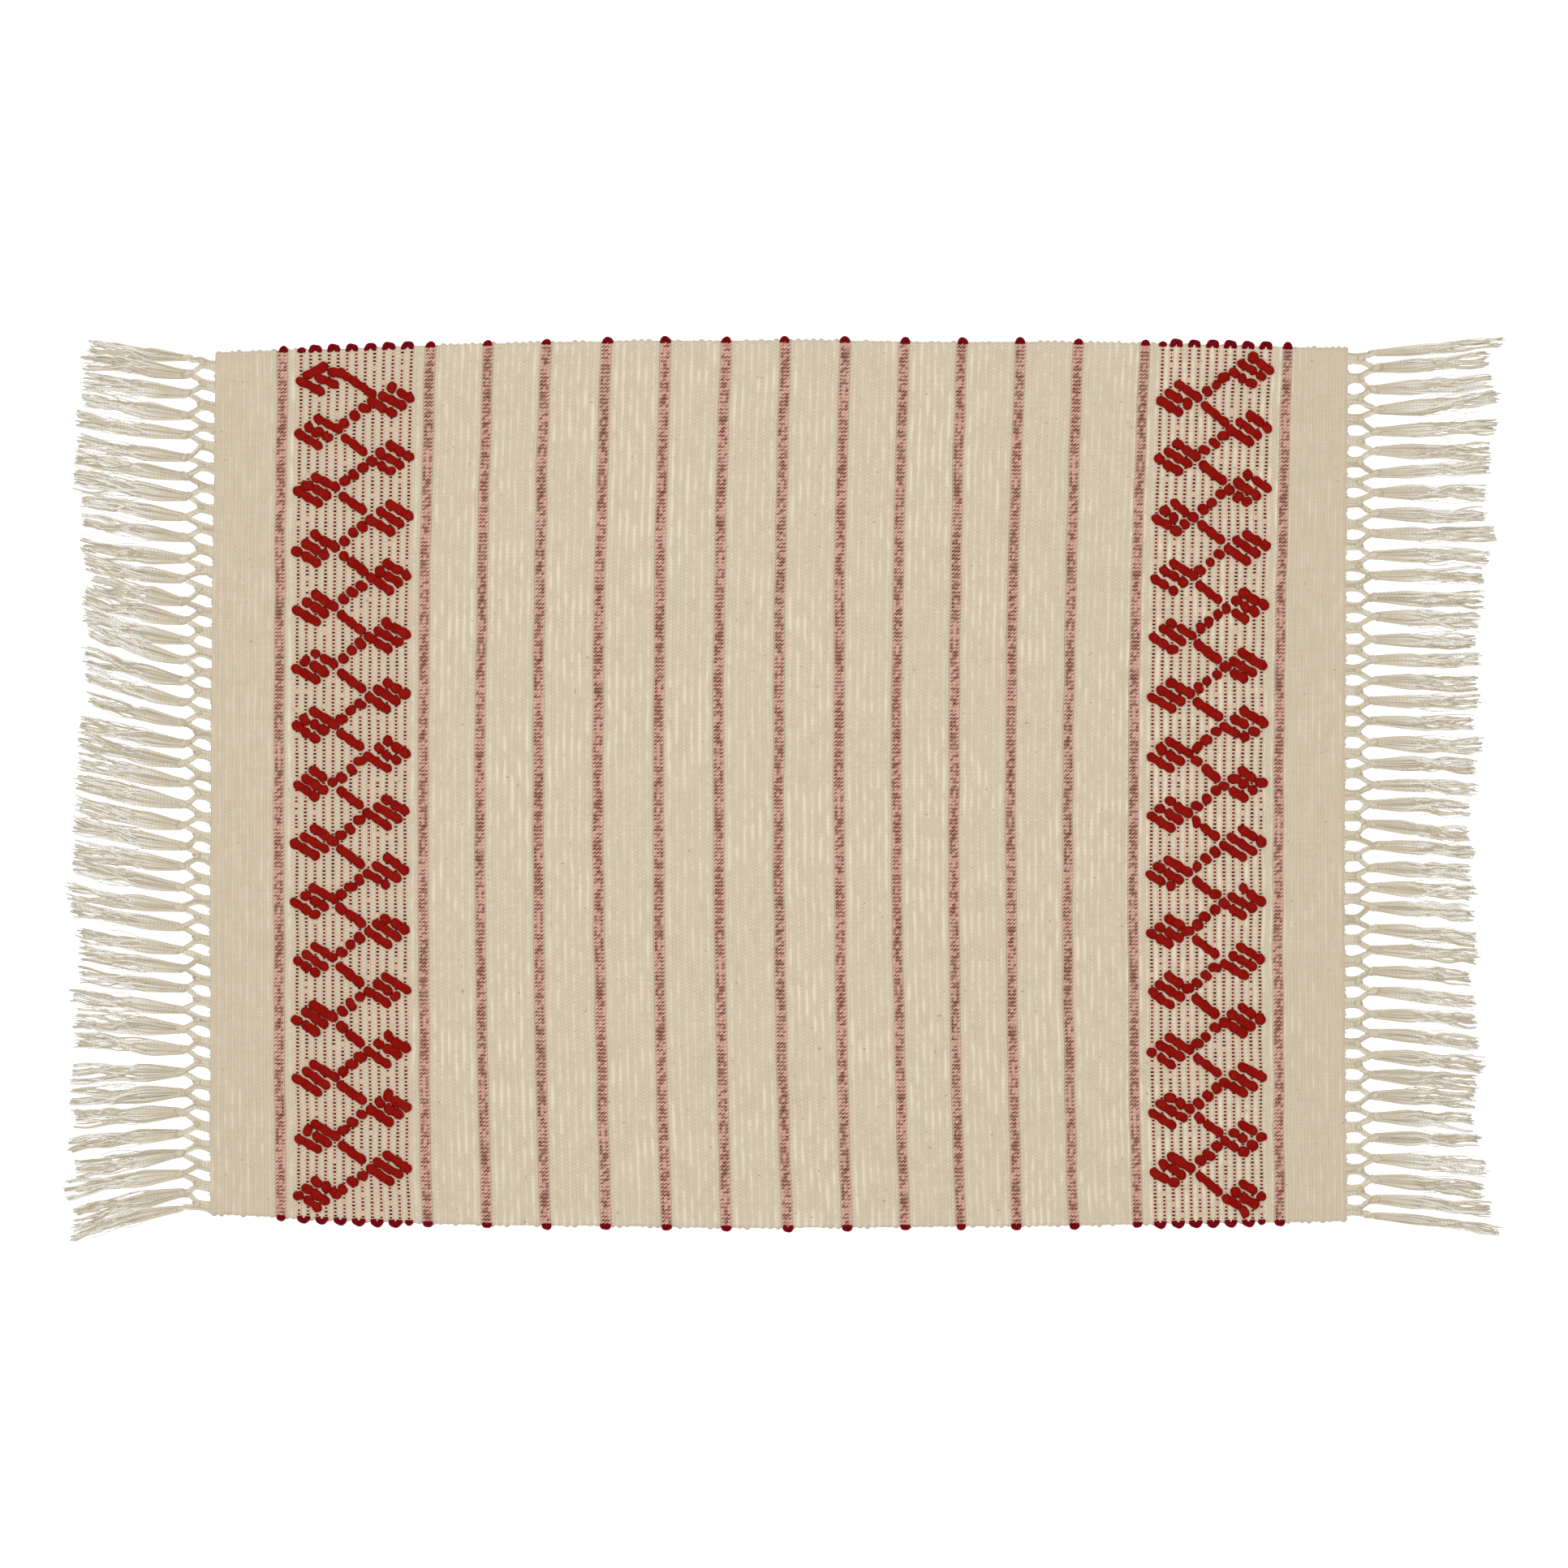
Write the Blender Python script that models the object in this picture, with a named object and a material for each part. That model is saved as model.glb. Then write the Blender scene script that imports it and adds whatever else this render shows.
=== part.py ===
"""Handwoven cotton floor rug with two knotted fringes and two raised vine borders.

Metres, +Z up. The origin is on the floor, under the middle of the rug. X runs along the warp, from
fringe to fringe, and Y runs along the weft, from selvedge to selvedge. One warp sheet runs through
every weft band. Each band of weft wraps the warp above, below and round both selvedges.
"""

import math

import bmesh
import bpy

# Cloth
CLOTH_LENGTH = 0.770  # along the warp, between the two fringes
CLOTH_WIDTH = 0.600  # along the weft, between the two selvedges
WARP_THICKNESS = 0.0012
WEFT_THICKNESS = 0.0013  # of the weft above the warp, and again below it
YARN_CLEARANCE = 0.0003  # between neighbouring pieces of yarn

# Red weft stripes
STRIPE_WIDTH = 0.0066
END_BAND_LENGTH = 0.0469  # from the end of the cloth to the middle of the first stripe
BROCADE_BAND_LENGTH = 0.0979  # between the middles of the two stripes that border a vine
FIELD_STRIPES = 11  # between the two brocade bands
LAST_GAP_EXTRA = 0.0057  # by which the last gap in the field is wider than the others
SELVEDGE_BUMP = 0.0025  # how far a stripe's yarn stands out where it turns

# Single red lines under each vine
LINE_COUNT = 13
LINE_MARGIN = 0.0123  # from the middle of a border stripe to the middle of the nearest line
LINE_WIDTH = 0.0030
LINE_HEIGHT = 0.0008
LINE_DEPTH = 0.0005  # of a line's yarn below the face of the cloth
LOOP_REACH = 0.0026  # of a turning loop beyond the selvedge
LOOP_SEGMENTS = 4
TAIL_LENGTH = 0.0018  # of the loose end of the line yarn

# Raised vine of brocade yarn
OUTER_FLOWERS = 15
FLOWER_MARGIN = 0.020  # from the selvedge to the middle of the first flower
ROWS_PER_REPEAT = 8  # of stitches, from one flower to the next on the same side
BROCADE_HEIGHT = 0.0030
STITCH_END = 0.0030  # by which an outer stitch reaches past its place in the grid
STEM_HALF_WIDTH = 0.0030  # measured along X

# Fringe, measured outwards from the end of the cloth
FRINGE_GROUPS = 7
BUNDLES_PER_GROUP = 6
FRINGE_LENGTH = 0.097
ROOT_WIDTH = 0.0040
ROOT_LENGTH = 0.0045
SPLIT_LENGTH = 0.0031  # of the bundle between its root and the fork
HALF_BUNDLE_REACH = 0.0056  # from the fork to the second knot
FORK_STEP = 0.0022  # between the cloth side of a second knot and its shoulders
KNOT_LENGTH = 0.0078
KNOT_WIDTH = 0.0064
NECK_LENGTH = 0.0015
NECK_WIDTH = 0.0048
TASSEL_WIDTH = 0.0096
SELVEDGE_TASSEL_WIDTH = 0.0062  # of the outermost tassel, which holds half a bundle
SELVEDGE_TASSEL_INSET = 0.0004  # of its outer side, from the selvedge
KNOT_GAP = 0.0007  # that a neighbour's half bundle stops short of a knot, along the bundle

# Heights above the floor
ROOT_HEIGHT = 0.0034
SPLIT_HEIGHT = 0.0028
KNOT_HEIGHT = 0.0060
NECK_HEIGHT = 0.0036
TASSEL_HEIGHT = 0.0042

# Worked out from the sizes above
WARP_LOW = WEFT_THICKNESS + YARN_CLEARANCE
WARP_TOP = WARP_LOW + WARP_THICKNESS
CLOTH_TOP = WARP_TOP + YARN_CLEARANCE + WEFT_THICKNESS
LINE_LOW = CLOTH_TOP - LINE_DEPTH
LINE_TOP = LINE_LOW + LINE_HEIGHT
VINE_LOW = LINE_TOP + YARN_CLEARANCE
CLOTH_END = CLOTH_LENGTH / 2
SELVEDGE = CLOTH_WIDTH / 2
OUTER_STRIPE = CLOTH_END - END_BAND_LENGTH
INNER_STRIPE = OUTER_STRIPE - BROCADE_BAND_LENGTH
STRIPE_PITCH = (2 * INNER_STRIPE - LAST_GAP_EXTRA) / (FIELD_STRIPES + 1)
BROCADE_MIDDLE = (OUTER_STRIPE + INNER_STRIPE) / 2
LINE_PITCH = (BROCADE_BAND_LENGTH - 2 * LINE_MARGIN) / (LINE_COUNT - 1)
FLOWER_PITCH = (CLOTH_WIDTH - 2 * FLOWER_MARGIN) / (OUTER_FLOWERS - 1)
ROW_PITCH = FLOWER_PITCH / ROWS_PER_REPEAT
BUNDLE_PITCH = CLOTH_WIDTH / (FRINGE_GROUPS * BUNDLES_PER_GROUP)

# Colours
CREAM = (0.84, 0.78, 0.67)
WARP_CREAM = (0.86, 0.80, 0.70)
STRIPE_PINK = (0.70, 0.52, 0.46)
LINE_RED = (0.45, 0.13, 0.12)
VINE_RED = (0.50, 0.06, 0.05)
FRINGE_CREAM = (0.82, 0.79, 0.68)


def clear_scene():
    """Removes whatever the scene holds."""
    for item in list(bpy.data.objects):
        bpy.data.objects.remove(item)


def cotton(name, colour, roughness):
    """A cotton yarn's material."""
    finish = bpy.data.materials.new(name)
    finish.use_nodes = True
    surface = finish.node_tree.nodes["Principled BSDF"]
    surface.inputs["Base Color"].default_value = (*colour, 1.0)
    surface.inputs["Roughness"].default_value = roughness
    surface.inputs["Metallic"].default_value = 0.0
    return finish


def place(name, shape, finish, parent=None):
    """Turns a bmesh into a named object with its material, riding on its parent."""
    bmesh.ops.recalc_face_normals(shape, faces=shape.faces[:])
    mesh = bpy.data.meshes.new(name)
    shape.to_mesh(mesh)
    shape.free()
    mesh.materials.append(finish)
    item = bpy.data.objects.new(name, mesh)
    bpy.context.collection.objects.link(item)
    item.parent = parent
    return item


def pivot(name, location, turn=0.0):
    """An empty that carries one end of the rug or one fringe."""
    empty = bpy.data.objects.new(name, None)
    bpy.context.collection.objects.link(empty)
    empty.location = location
    empty.rotation_euler = (0.0, 0.0, turn)
    return empty


def prism(outline, low, tops):
    """A closed body over a plan outline, flat below, with its own height at each corner."""
    shape = bmesh.new()
    feet = [shape.verts.new((x, y, low)) for x, y in outline]
    heads = [shape.verts.new((x, y, top)) for (x, y), top in zip(outline, tops)]
    shape.faces.new(feet)
    shape.faces.new(heads)
    for i in range(len(outline)):
        j = (i + 1) % len(outline)
        shape.faces.new((feet[i], feet[j], heads[j], heads[i]))
    shape.normal_update()
    bmesh.ops.triangulate(shape, faces=shape.faces[:])
    return shape


def ribbon(one_side, other_side, low, top):
    """A closed body between two plan chains of equally many points."""
    shape = bmesh.new()
    rungs = []
    for (x, y), (other_x, other_y) in zip(one_side, other_side):
        corners = ((x, y, low), (x, y, top), (other_x, other_y, top), (other_x, other_y, low))
        rungs.append([shape.verts.new(corner) for corner in corners])
    for near, far in zip(rungs, rungs[1:]):
        for i in range(4):
            j = (i + 1) % 4
            shape.faces.new((near[i], near[j], far[j], far[i]))
    shape.faces.new(rungs[0])
    shape.faces.new(rungs[-1])
    return shape


def box(x_low, x_high, y_low, y_high, z_low, z_high):
    """A plain block between two corners."""
    outline = ((x_low, y_low), (x_high, y_low), (x_high, y_high), (x_low, y_high))
    return prism(outline, z_low, [z_high] * len(outline))


def wrapped_band(x_low, x_high, half_width):
    """Weft wrapped round the warp sheet: a flat sleeve that the warp runs through along X."""
    hollow_half = SELVEDGE - WEFT_THICKNESS
    hollow_low = WARP_LOW - YARN_CLEARANCE
    hollow_top = WARP_TOP + YARN_CLEARANCE
    outside = (
        (-half_width, 0.0),
        (half_width, 0.0),
        (half_width, CLOTH_TOP),
        (-half_width, CLOTH_TOP),
    )
    inside = (
        (-hollow_half, hollow_low),
        (hollow_half, hollow_low),
        (hollow_half, hollow_top),
        (-hollow_half, hollow_top),
    )
    shape = bmesh.new()
    loops = {}
    for x in (x_low, x_high):
        for key, corners in (("out", outside), ("in", inside)):
            loops[x, key] = [shape.verts.new((x, y, z)) for y, z in corners]
    for i in range(4):
        j = (i + 1) % 4
        for key in ("out", "in"):
            near, far = loops[x_low, key], loops[x_high, key]
            shape.faces.new((near[i], near[j], far[j], far[i]))
        for x in (x_low, x_high):
            outer, inner = loops[x, "out"], loops[x, "in"]
            shape.faces.new((outer[i], outer[j], inner[j], inner[i]))
    return shape


def stripe_places():
    """The middle of each red stripe along X, from left to right."""
    field = [-INNER_STRIPE + STRIPE_PITCH * (i + 1) for i in range(FIELD_STRIPES)]
    return [-OUTER_STRIPE, -INNER_STRIPE, *field, INNER_STRIPE, OUTER_STRIPE]


def line_places():
    """The middle of each single red line along X, on the left brocade band."""
    first = -OUTER_STRIPE + LINE_MARGIN
    return [first + LINE_PITCH * i for i in range(LINE_COUNT)]


def build_warp(finish):
    """The sheet of lengthwise threads inside every band."""
    half = SELVEDGE - WEFT_THICKNESS - YARN_CLEARANCE
    place("warp_sheet", box(-CLOTH_END, CLOTH_END, -half, half, WARP_LOW, WARP_TOP), finish)


def build_stripes(finish):
    """The red stripes, each a band of red weft whose yarn stands out at both selvedges."""
    for number, middle in enumerate(stripe_places(), start=1):
        x_low = middle - STRIPE_WIDTH / 2
        shape = wrapped_band(x_low, x_low + STRIPE_WIDTH, SELVEDGE + SELVEDGE_BUMP)
        place(f"stripe_{number}", shape, finish)


def build_plain_bands(finish):
    """The cream bands at both ends and between the stripes of the field."""
    room = STRIPE_WIDTH / 2 + YARN_CLEARANCE
    stripes = stripe_places()
    left_end = wrapped_band(-CLOTH_END, stripes[0] - room, SELVEDGE)
    place("left_end_band", left_end, finish)
    right_end = wrapped_band(stripes[-1] + room, CLOTH_END, SELVEDGE)
    place("right_end_band", right_end, finish)
    field = stripes[1:-1]
    for number, (before, after) in enumerate(zip(field, field[1:]), start=1):
        shape = wrapped_band(before + room, after - room, SELVEDGE)
        place(f"field_band_{number}", shape, finish)


def build_brocade_ground(side, end, finish):
    """The cream band under a vine, with a groove along Y for each red line."""
    room = STRIPE_WIDTH / 2 + YARN_CLEARANCE
    shape = wrapped_band(-OUTER_STRIPE + room, -INNER_STRIPE - room, SELVEDGE)
    ground = place(f"{side}_brocade_ground", shape, finish, end)
    half_groove = LINE_WIDTH / 2 + YARN_CLEARANCE
    floor = LINE_LOW - YARN_CLEARANCE
    past = LOOP_REACH
    grooves = bmesh.new()
    for middle in line_places():
        groove = box(
            middle - half_groove,
            middle + half_groove,
            -SELVEDGE - past,
            SELVEDGE + past,
            floor,
            LINE_TOP + past,
        )
        mesh = bpy.data.meshes.new("groove")
        groove.to_mesh(mesh)
        groove.free()
        grooves.from_mesh(mesh)
        bpy.data.meshes.remove(mesh)
    cutter = place(f"{side}_groove_cutter", grooves, finish, end)
    cutter.hide_render = True
    cutter.display_type = "WIRE"
    cut = ground.modifiers.new("grooves", "BOOLEAN")
    cut.operation = "DIFFERENCE"
    cut.object = cutter


def turn_points(x_near, x_far, reach, direction):
    """One side of a loop, from one line to the next, reaching past one selvedge.

    direction is 1 at the +Y selvedge and -1 at the -Y one.
    """
    middle = (x_near + x_far) / 2
    reach_x = (x_far - x_near) / 2
    base = SELVEDGE + YARN_CLEARANCE
    points = []
    for i in range(LOOP_SEGMENTS + 1):
        angle = math.pi * i / LOOP_SEGMENTS
        x = middle - reach_x * math.cos(angle)
        points.append((x, direction * (base + reach * math.sin(angle))))
    return points


def line_yarn_sides():
    """The two sides of one yarn that runs along all the lines, turning at each selvedge.

    It starts at the +Y selvedge. A side that is outside one turn is inside the next.
    """
    half = LINE_WIDTH / 2
    lines = line_places()
    tail = SELVEDGE + TAIL_LENGTH
    forward = [(lines[0] - half, tail)]
    backward = [(lines[0] + half, tail)]
    for i in range(LINE_COUNT - 1):
        near, far = lines[i], lines[i + 1]
        direction = -1 if i % 2 == 0 else 1
        outer_side = turn_points(near - half, far + half, LOOP_REACH, direction)
        inner_side = turn_points(near + half, far - half, 0.0, direction)
        if direction < 0:
            forward += outer_side
            backward += inner_side
        else:
            forward += inner_side
            backward += outer_side
    last = lines[-1]
    forward.append((last - half, -tail))
    backward.append((last + half, -tail))
    return forward, backward


def build_line_yarn(side, end, finish):
    """The thin red weft that runs to and fro under the vine as single lines."""
    forward, backward = line_yarn_sides()
    place(f"{side}_line_yarn", ribbon(forward, backward, LINE_LOW, LINE_TOP), finish, end)


def flower_rows():
    """The middle of each outer flower along Y, from the +Y selvedge down."""
    return [SELVEDGE - FLOWER_MARGIN - FLOWER_PITCH * i for i in range(OUTER_FLOWERS)]


def flower_side(middle, side, join_above, join_below):
    """A flower's outline, top to bottom, on the side that faces away from the stem.

    side is -1 for a flower on the -X side of the vine and 1 for one on the +X side.
    """
    tip_x = 4 * LINE_PITCH
    rise = 2 * ROW_PITCH + STITCH_END
    join = STITCH_END / 2 + STEM_HALF_WIDTH * ROW_PITCH / (2 * LINE_PITCH)
    join_x = 2 * LINE_PITCH + STEM_HALF_WIDTH - join * LINE_PITCH / ROW_PITCH
    points = []
    if join_above:
        points.append((side * join_x, middle + join))
    points.append((side * tip_x, middle + rise))
    points.append((side * (6 * LINE_PITCH + STITCH_END), middle))
    points.append((side * tip_x, middle - rise))
    if join_below:
        points.append((side * join_x, middle - join))
    return points


def vine_outline():
    """The vine's plan: flowers on alternate sides of one zigzag stem."""
    outer = flower_rows()
    inner = [(above + below) / 2 for above, below in zip(outer, outer[1:])]
    stem_turn = 2 * LINE_PITCH - STEM_HALF_WIDTH
    stem_tip = 2 * LINE_PITCH - STITCH_END
    down = []
    for i, middle in enumerate(outer):
        last = i == len(outer) - 1
        down += flower_side(middle, -1, i > 0, not last)
        if not last:
            down.append((stem_turn, inner[i]))
    up = [(-stem_tip, outer[-1])]
    for i in reversed(range(len(inner))):
        up += flower_side(inner[i], 1, True, True)[::-1]
        up.append((-(stem_turn if i > 0 else stem_tip), outer[i]))
    return [(x - BROCADE_MIDDLE, y) for x, y in down + up]


def build_vine(side, end, finish):
    """The thick brocade yarn that stands proud of the cloth."""
    outline = vine_outline()
    top = VINE_LOW + BROCADE_HEIGHT
    place(f"{side}_brocade_vine", prism(outline, VINE_LOW, [top] * len(outline)), finish, end)


def between(start, finish, distance):
    """The point this far along the way from one point to another."""
    length = math.dist(start[:2], finish[:2])
    share = distance / length
    return tuple(a + (b - a) * share for a, b in zip(start, finish))


def knot_place(index):
    """A second knot's middle along Y. The two outermost are drawn in from the selvedges."""
    limit = SELVEDGE - SELVEDGE_TASSEL_INSET - SELVEDGE_TASSEL_WIDTH / 2
    return max(-limit, min(limit, -SELVEDGE + BUNDLE_PITCH * index))


def tassel_share(index):
    """A second knot's and its tassel's width as a share of a full one's."""
    outermost = index in (0, FRINGE_GROUPS * BUNDLES_PER_GROUP)
    return SELVEDGE_TASSEL_WIDTH / TASSEL_WIDTH if outermost else 1.0


def tassel_points(index):
    """A second knot and its tassel, from its +Y shoulder round the tip to its -Y one."""
    middle = knot_place(index)
    half = tassel_share(index) / 2
    shoulder = ROOT_LENGTH + SPLIT_LENGTH + HALF_BUNDLE_REACH
    knot_end = shoulder + KNOT_LENGTH
    neck = knot_end + NECK_LENGTH
    side = (
        (shoulder, half * KNOT_WIDTH, KNOT_HEIGHT),
        (knot_end, half * KNOT_WIDTH, KNOT_HEIGHT),
        (neck, half * NECK_WIDTH, NECK_HEIGHT),
        (FRINGE_LENGTH, half * TASSEL_WIDTH, TASSEL_HEIGHT),
    )
    upper = [(out, middle + across, top) for out, across, top in side]
    lower = [(out, middle - across, top) for out, across, top in side]
    return upper + lower[::-1]


def fork_point(index):
    """The cloth side of a second knot, where its two half bundles meet."""
    shoulder = ROOT_LENGTH + SPLIT_LENGTH + HALF_BUNDLE_REACH
    return (shoulder - FORK_STEP, knot_place(index), SPLIT_HEIGHT)


def fringe_outline(group):
    """One group's corners as distance out from the cloth, place along Y and height."""
    first = group * BUNDLES_PER_GROUP
    bundles = range(first, first + BUNDLES_PER_GROUP)
    has_first_knot = group == 0
    half_root = ROOT_WIDTH / 2
    inward = []
    outward = []
    for bundle in bundles:
        middle = -SELVEDGE + BUNDLE_PITCH * (bundle + 0.5)
        root_end = (ROOT_LENGTH, middle - half_root, ROOT_HEIGHT)
        fork = (ROOT_LENGTH + SPLIT_LENGTH, middle, SPLIT_HEIGHT)
        if bundle > first or has_first_knot:
            inward.append(fork_point(bundle))
            outward.append(tassel_points(bundle)[::-1])
        else:
            inward.append(between(fork_point(bundle), root_end, KNOT_GAP))
            outward.append([between(tassel_points(bundle)[0], fork, KNOT_GAP)])
        inward.append(root_end)
        inward.append((YARN_CLEARANCE, middle - half_root, ROOT_HEIGHT))
        inward.append((YARN_CLEARANCE, middle + half_root, ROOT_HEIGHT))
        inward.append((ROOT_LENGTH, middle + half_root, ROOT_HEIGHT))
        outward.append([fork])
    last = first + BUNDLES_PER_GROUP
    inward.append(fork_point(last))
    outward.append(tassel_points(last)[::-1])
    outer_side = [corner for part in outward for corner in part]
    return inward + outer_side[::-1]


def build_fringe(side, hinge, finish):
    """The knotted fringe at one end, hanging from its fold line at the edge of the cloth."""
    for group in range(FRINGE_GROUPS):
        corners = fringe_outline(group)
        outline = [(-out, along) for out, along, _ in corners]
        tops = [top - CLOTH_TOP for _, _, top in corners]
        shape = prism(outline, -CLOTH_TOP, tops)
        place(f"{side}_fringe_{group + 1}", shape, finish, hinge)


def build_end(side, turn, finishes):
    """The brocade band and the fringe at one end. Both ends are one design, turned half round."""
    end = pivot(f"{side}_end", (0.0, 0.0, 0.0), turn)
    build_brocade_ground(side, end, finishes["ground"])
    build_line_yarn(side, end, finishes["line"])
    build_vine(side, end, finishes["vine"])
    fold_line = (-CLOTH_END * math.cos(turn), 0.0, CLOTH_TOP)
    hinge = pivot(f"{side}_fringe_fold", fold_line, turn)
    build_fringe(side, hinge, finishes["fringe"])


def main():
    """Builds the whole rug, lying flat."""
    clear_scene()
    finishes = {
        "warp": cotton("warp_cotton", WARP_CREAM, 0.85),
        "ground": cotton("cream_weft", CREAM, 0.9),
        "stripe": cotton("red_and_cream_weft", STRIPE_PINK, 0.9),
        "line": cotton("thin_red_weft", LINE_RED, 0.88),
        "vine": cotton("thick_red_brocade", VINE_RED, 0.85),
        "fringe": cotton("fringe_cotton", FRINGE_CREAM, 0.85),
    }
    build_warp(finishes["warp"])
    build_stripes(finishes["stripe"])
    build_plain_bands(finishes["ground"])
    build_end("left", 0.0, finishes)
    build_end("right", math.pi, finishes)


main()
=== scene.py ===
"""Looks of the handwoven cotton floor rug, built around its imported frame.

Metres, +Z up. X runs along the warp, from fringe to fringe, and Y along the weft, from selvedge to
selvedge. Every piece takes its place from the frame's own nodes.
"""

import logging
import math
from dataclasses import dataclass, field
from enum import Enum
from typing import Sequence

import bpy
import numpy as np
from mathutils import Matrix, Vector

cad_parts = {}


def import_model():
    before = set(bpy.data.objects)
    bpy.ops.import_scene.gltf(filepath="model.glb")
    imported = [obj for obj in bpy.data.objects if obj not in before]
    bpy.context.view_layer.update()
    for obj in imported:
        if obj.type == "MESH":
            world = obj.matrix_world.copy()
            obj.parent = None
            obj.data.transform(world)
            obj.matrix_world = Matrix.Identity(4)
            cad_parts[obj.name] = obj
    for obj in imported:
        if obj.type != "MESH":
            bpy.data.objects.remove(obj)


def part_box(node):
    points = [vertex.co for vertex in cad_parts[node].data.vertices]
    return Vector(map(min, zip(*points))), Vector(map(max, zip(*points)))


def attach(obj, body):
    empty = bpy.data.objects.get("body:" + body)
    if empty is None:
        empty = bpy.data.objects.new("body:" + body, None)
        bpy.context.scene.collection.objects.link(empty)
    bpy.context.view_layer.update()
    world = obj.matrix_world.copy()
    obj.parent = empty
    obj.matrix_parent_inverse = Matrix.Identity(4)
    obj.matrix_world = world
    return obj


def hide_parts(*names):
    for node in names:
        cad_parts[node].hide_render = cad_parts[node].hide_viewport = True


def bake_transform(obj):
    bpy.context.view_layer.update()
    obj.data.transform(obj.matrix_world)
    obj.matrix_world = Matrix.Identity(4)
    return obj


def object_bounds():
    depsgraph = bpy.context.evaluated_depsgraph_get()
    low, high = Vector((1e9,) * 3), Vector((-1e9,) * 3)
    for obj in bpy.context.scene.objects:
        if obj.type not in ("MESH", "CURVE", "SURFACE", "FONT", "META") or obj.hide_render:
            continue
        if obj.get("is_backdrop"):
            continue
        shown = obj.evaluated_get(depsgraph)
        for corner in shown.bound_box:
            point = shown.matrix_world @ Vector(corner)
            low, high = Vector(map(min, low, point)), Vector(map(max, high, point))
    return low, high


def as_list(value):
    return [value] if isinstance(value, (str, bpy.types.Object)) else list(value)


Array = np.ndarray
Colour = tuple[float, float, float]
Socket = bpy.types.NodeSocket

log = logging.getLogger("rug")

# A run of brocade stitches: its first column and row, its last ones, and how many stitches it has.
Run = tuple[float, float, float, float, int]

MM = 0.001
SEED = 20260  # where every random draw starts
TINY = 1e-12  # keeps a line of no length from dividing by zero
NUDGE = 0.001  # keeps a count that falls on a thread's edge on one side of it
YARN_MAP = "yarn"  # the map with each corner's place along and around its yarn
CLOTH = "cloth"  # the frame's body that the woven part belongs to
SUFFIX = "_cotton"  # tells a piece's name from its node's


def dye(red: int, green: int, blue: int) -> Colour:
    """Turns a colour chart's 0 to 255 values into linear light.

    Args:
        red: Red, 0 to 255.
        green: Green, 0 to 255.
        blue: Blue, 0 to 255.

    Returns:
        The linear colour.
    """

    def linear(value: float) -> float:
        """One channel."""
        share = value / 255
        return share / 12.92 if share <= 0.04045 else ((share + 0.055) / 1.055) ** 2.4

    return linear(red), linear(green), linear(blue)


def ease(low: float, high: float, value: Array | float) -> Array:
    """A smooth step from 0 at low to 1 at high.

    Args:
        low: Where the step starts.
        high: Where it ends.
        value: Where it is read.

    Returns:
        The step's height at each value.
    """
    share = np.clip((np.asarray(value, float) - low) / (high - low), 0.0, 1.0)
    return share * share * (3.0 - 2.0 * share)


def through(knots: Array, places: Array) -> Array:
    """Smooth curves through control points, by Catmull-Rom.

    Args:
        knots: Control points, (curves, knots, 3).
        places: Where to read the curves, 0 at the first knot and 1 at the last.

    Returns:
        Points, (curves, places, 3).
    """
    count = knots.shape[1]
    ends = np.concatenate(
        [2 * knots[:, :1] - knots[:, 1:2], knots, 2 * knots[:, -1:] - knots[:, -2:-1]], axis=1
    )
    at = np.clip(places, 0.0, 1.0) * (count - 1)
    index = np.minimum(at.astype(int), count - 2)
    t = (at - index)[None, :, None]
    a, b, c, d = (ends[:, index + k] for k in range(4))
    return 0.5 * (
        2 * b + (c - a) * t + (2 * a - 5 * b + 4 * c - d) * t**2 + (3 * b - a - 3 * c + d) * t**3
    )


class End(Enum):
    """One end of the rug: its name in the frame, and the half turn that brings it there."""

    LEFT = ("left", 1.0)
    RIGHT = ("right", -1.0)

    @property
    def label(self) -> str:
        """The word that the frame's names start with."""
        return self.value[0]

    @property
    def turn(self) -> float:
        """1 at the left end, and -1 at the right one, which is the left one turned half round."""
        return self.value[1]


@dataclass(frozen=True)
class Ripple:
    """A slow, even unevenness, as the sum of a few waves."""

    reach: float
    wave: float
    seed: int
    waves: int = 7

    def at(self, x: Array, y: Array) -> Array:
        """How far it moves something.

        Args:
            x: Places along X.
            y: Places along Y.

        Returns:
            The move at each place, within about the ripple's reach.
        """
        rng = np.random.default_rng(SEED + self.seed)
        total = np.zeros(np.broadcast(x, y).shape)
        for _ in range(self.waves):
            angle, phase = rng.uniform(0, 2 * math.pi, 2)
            pace = 2 * math.pi / (self.wave * rng.uniform(0.6, 1.6))
            total = total + np.sin(pace * (np.cos(angle) * x + np.sin(angle) * y) + phase)
        return total * self.reach / math.sqrt(self.waves)


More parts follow.
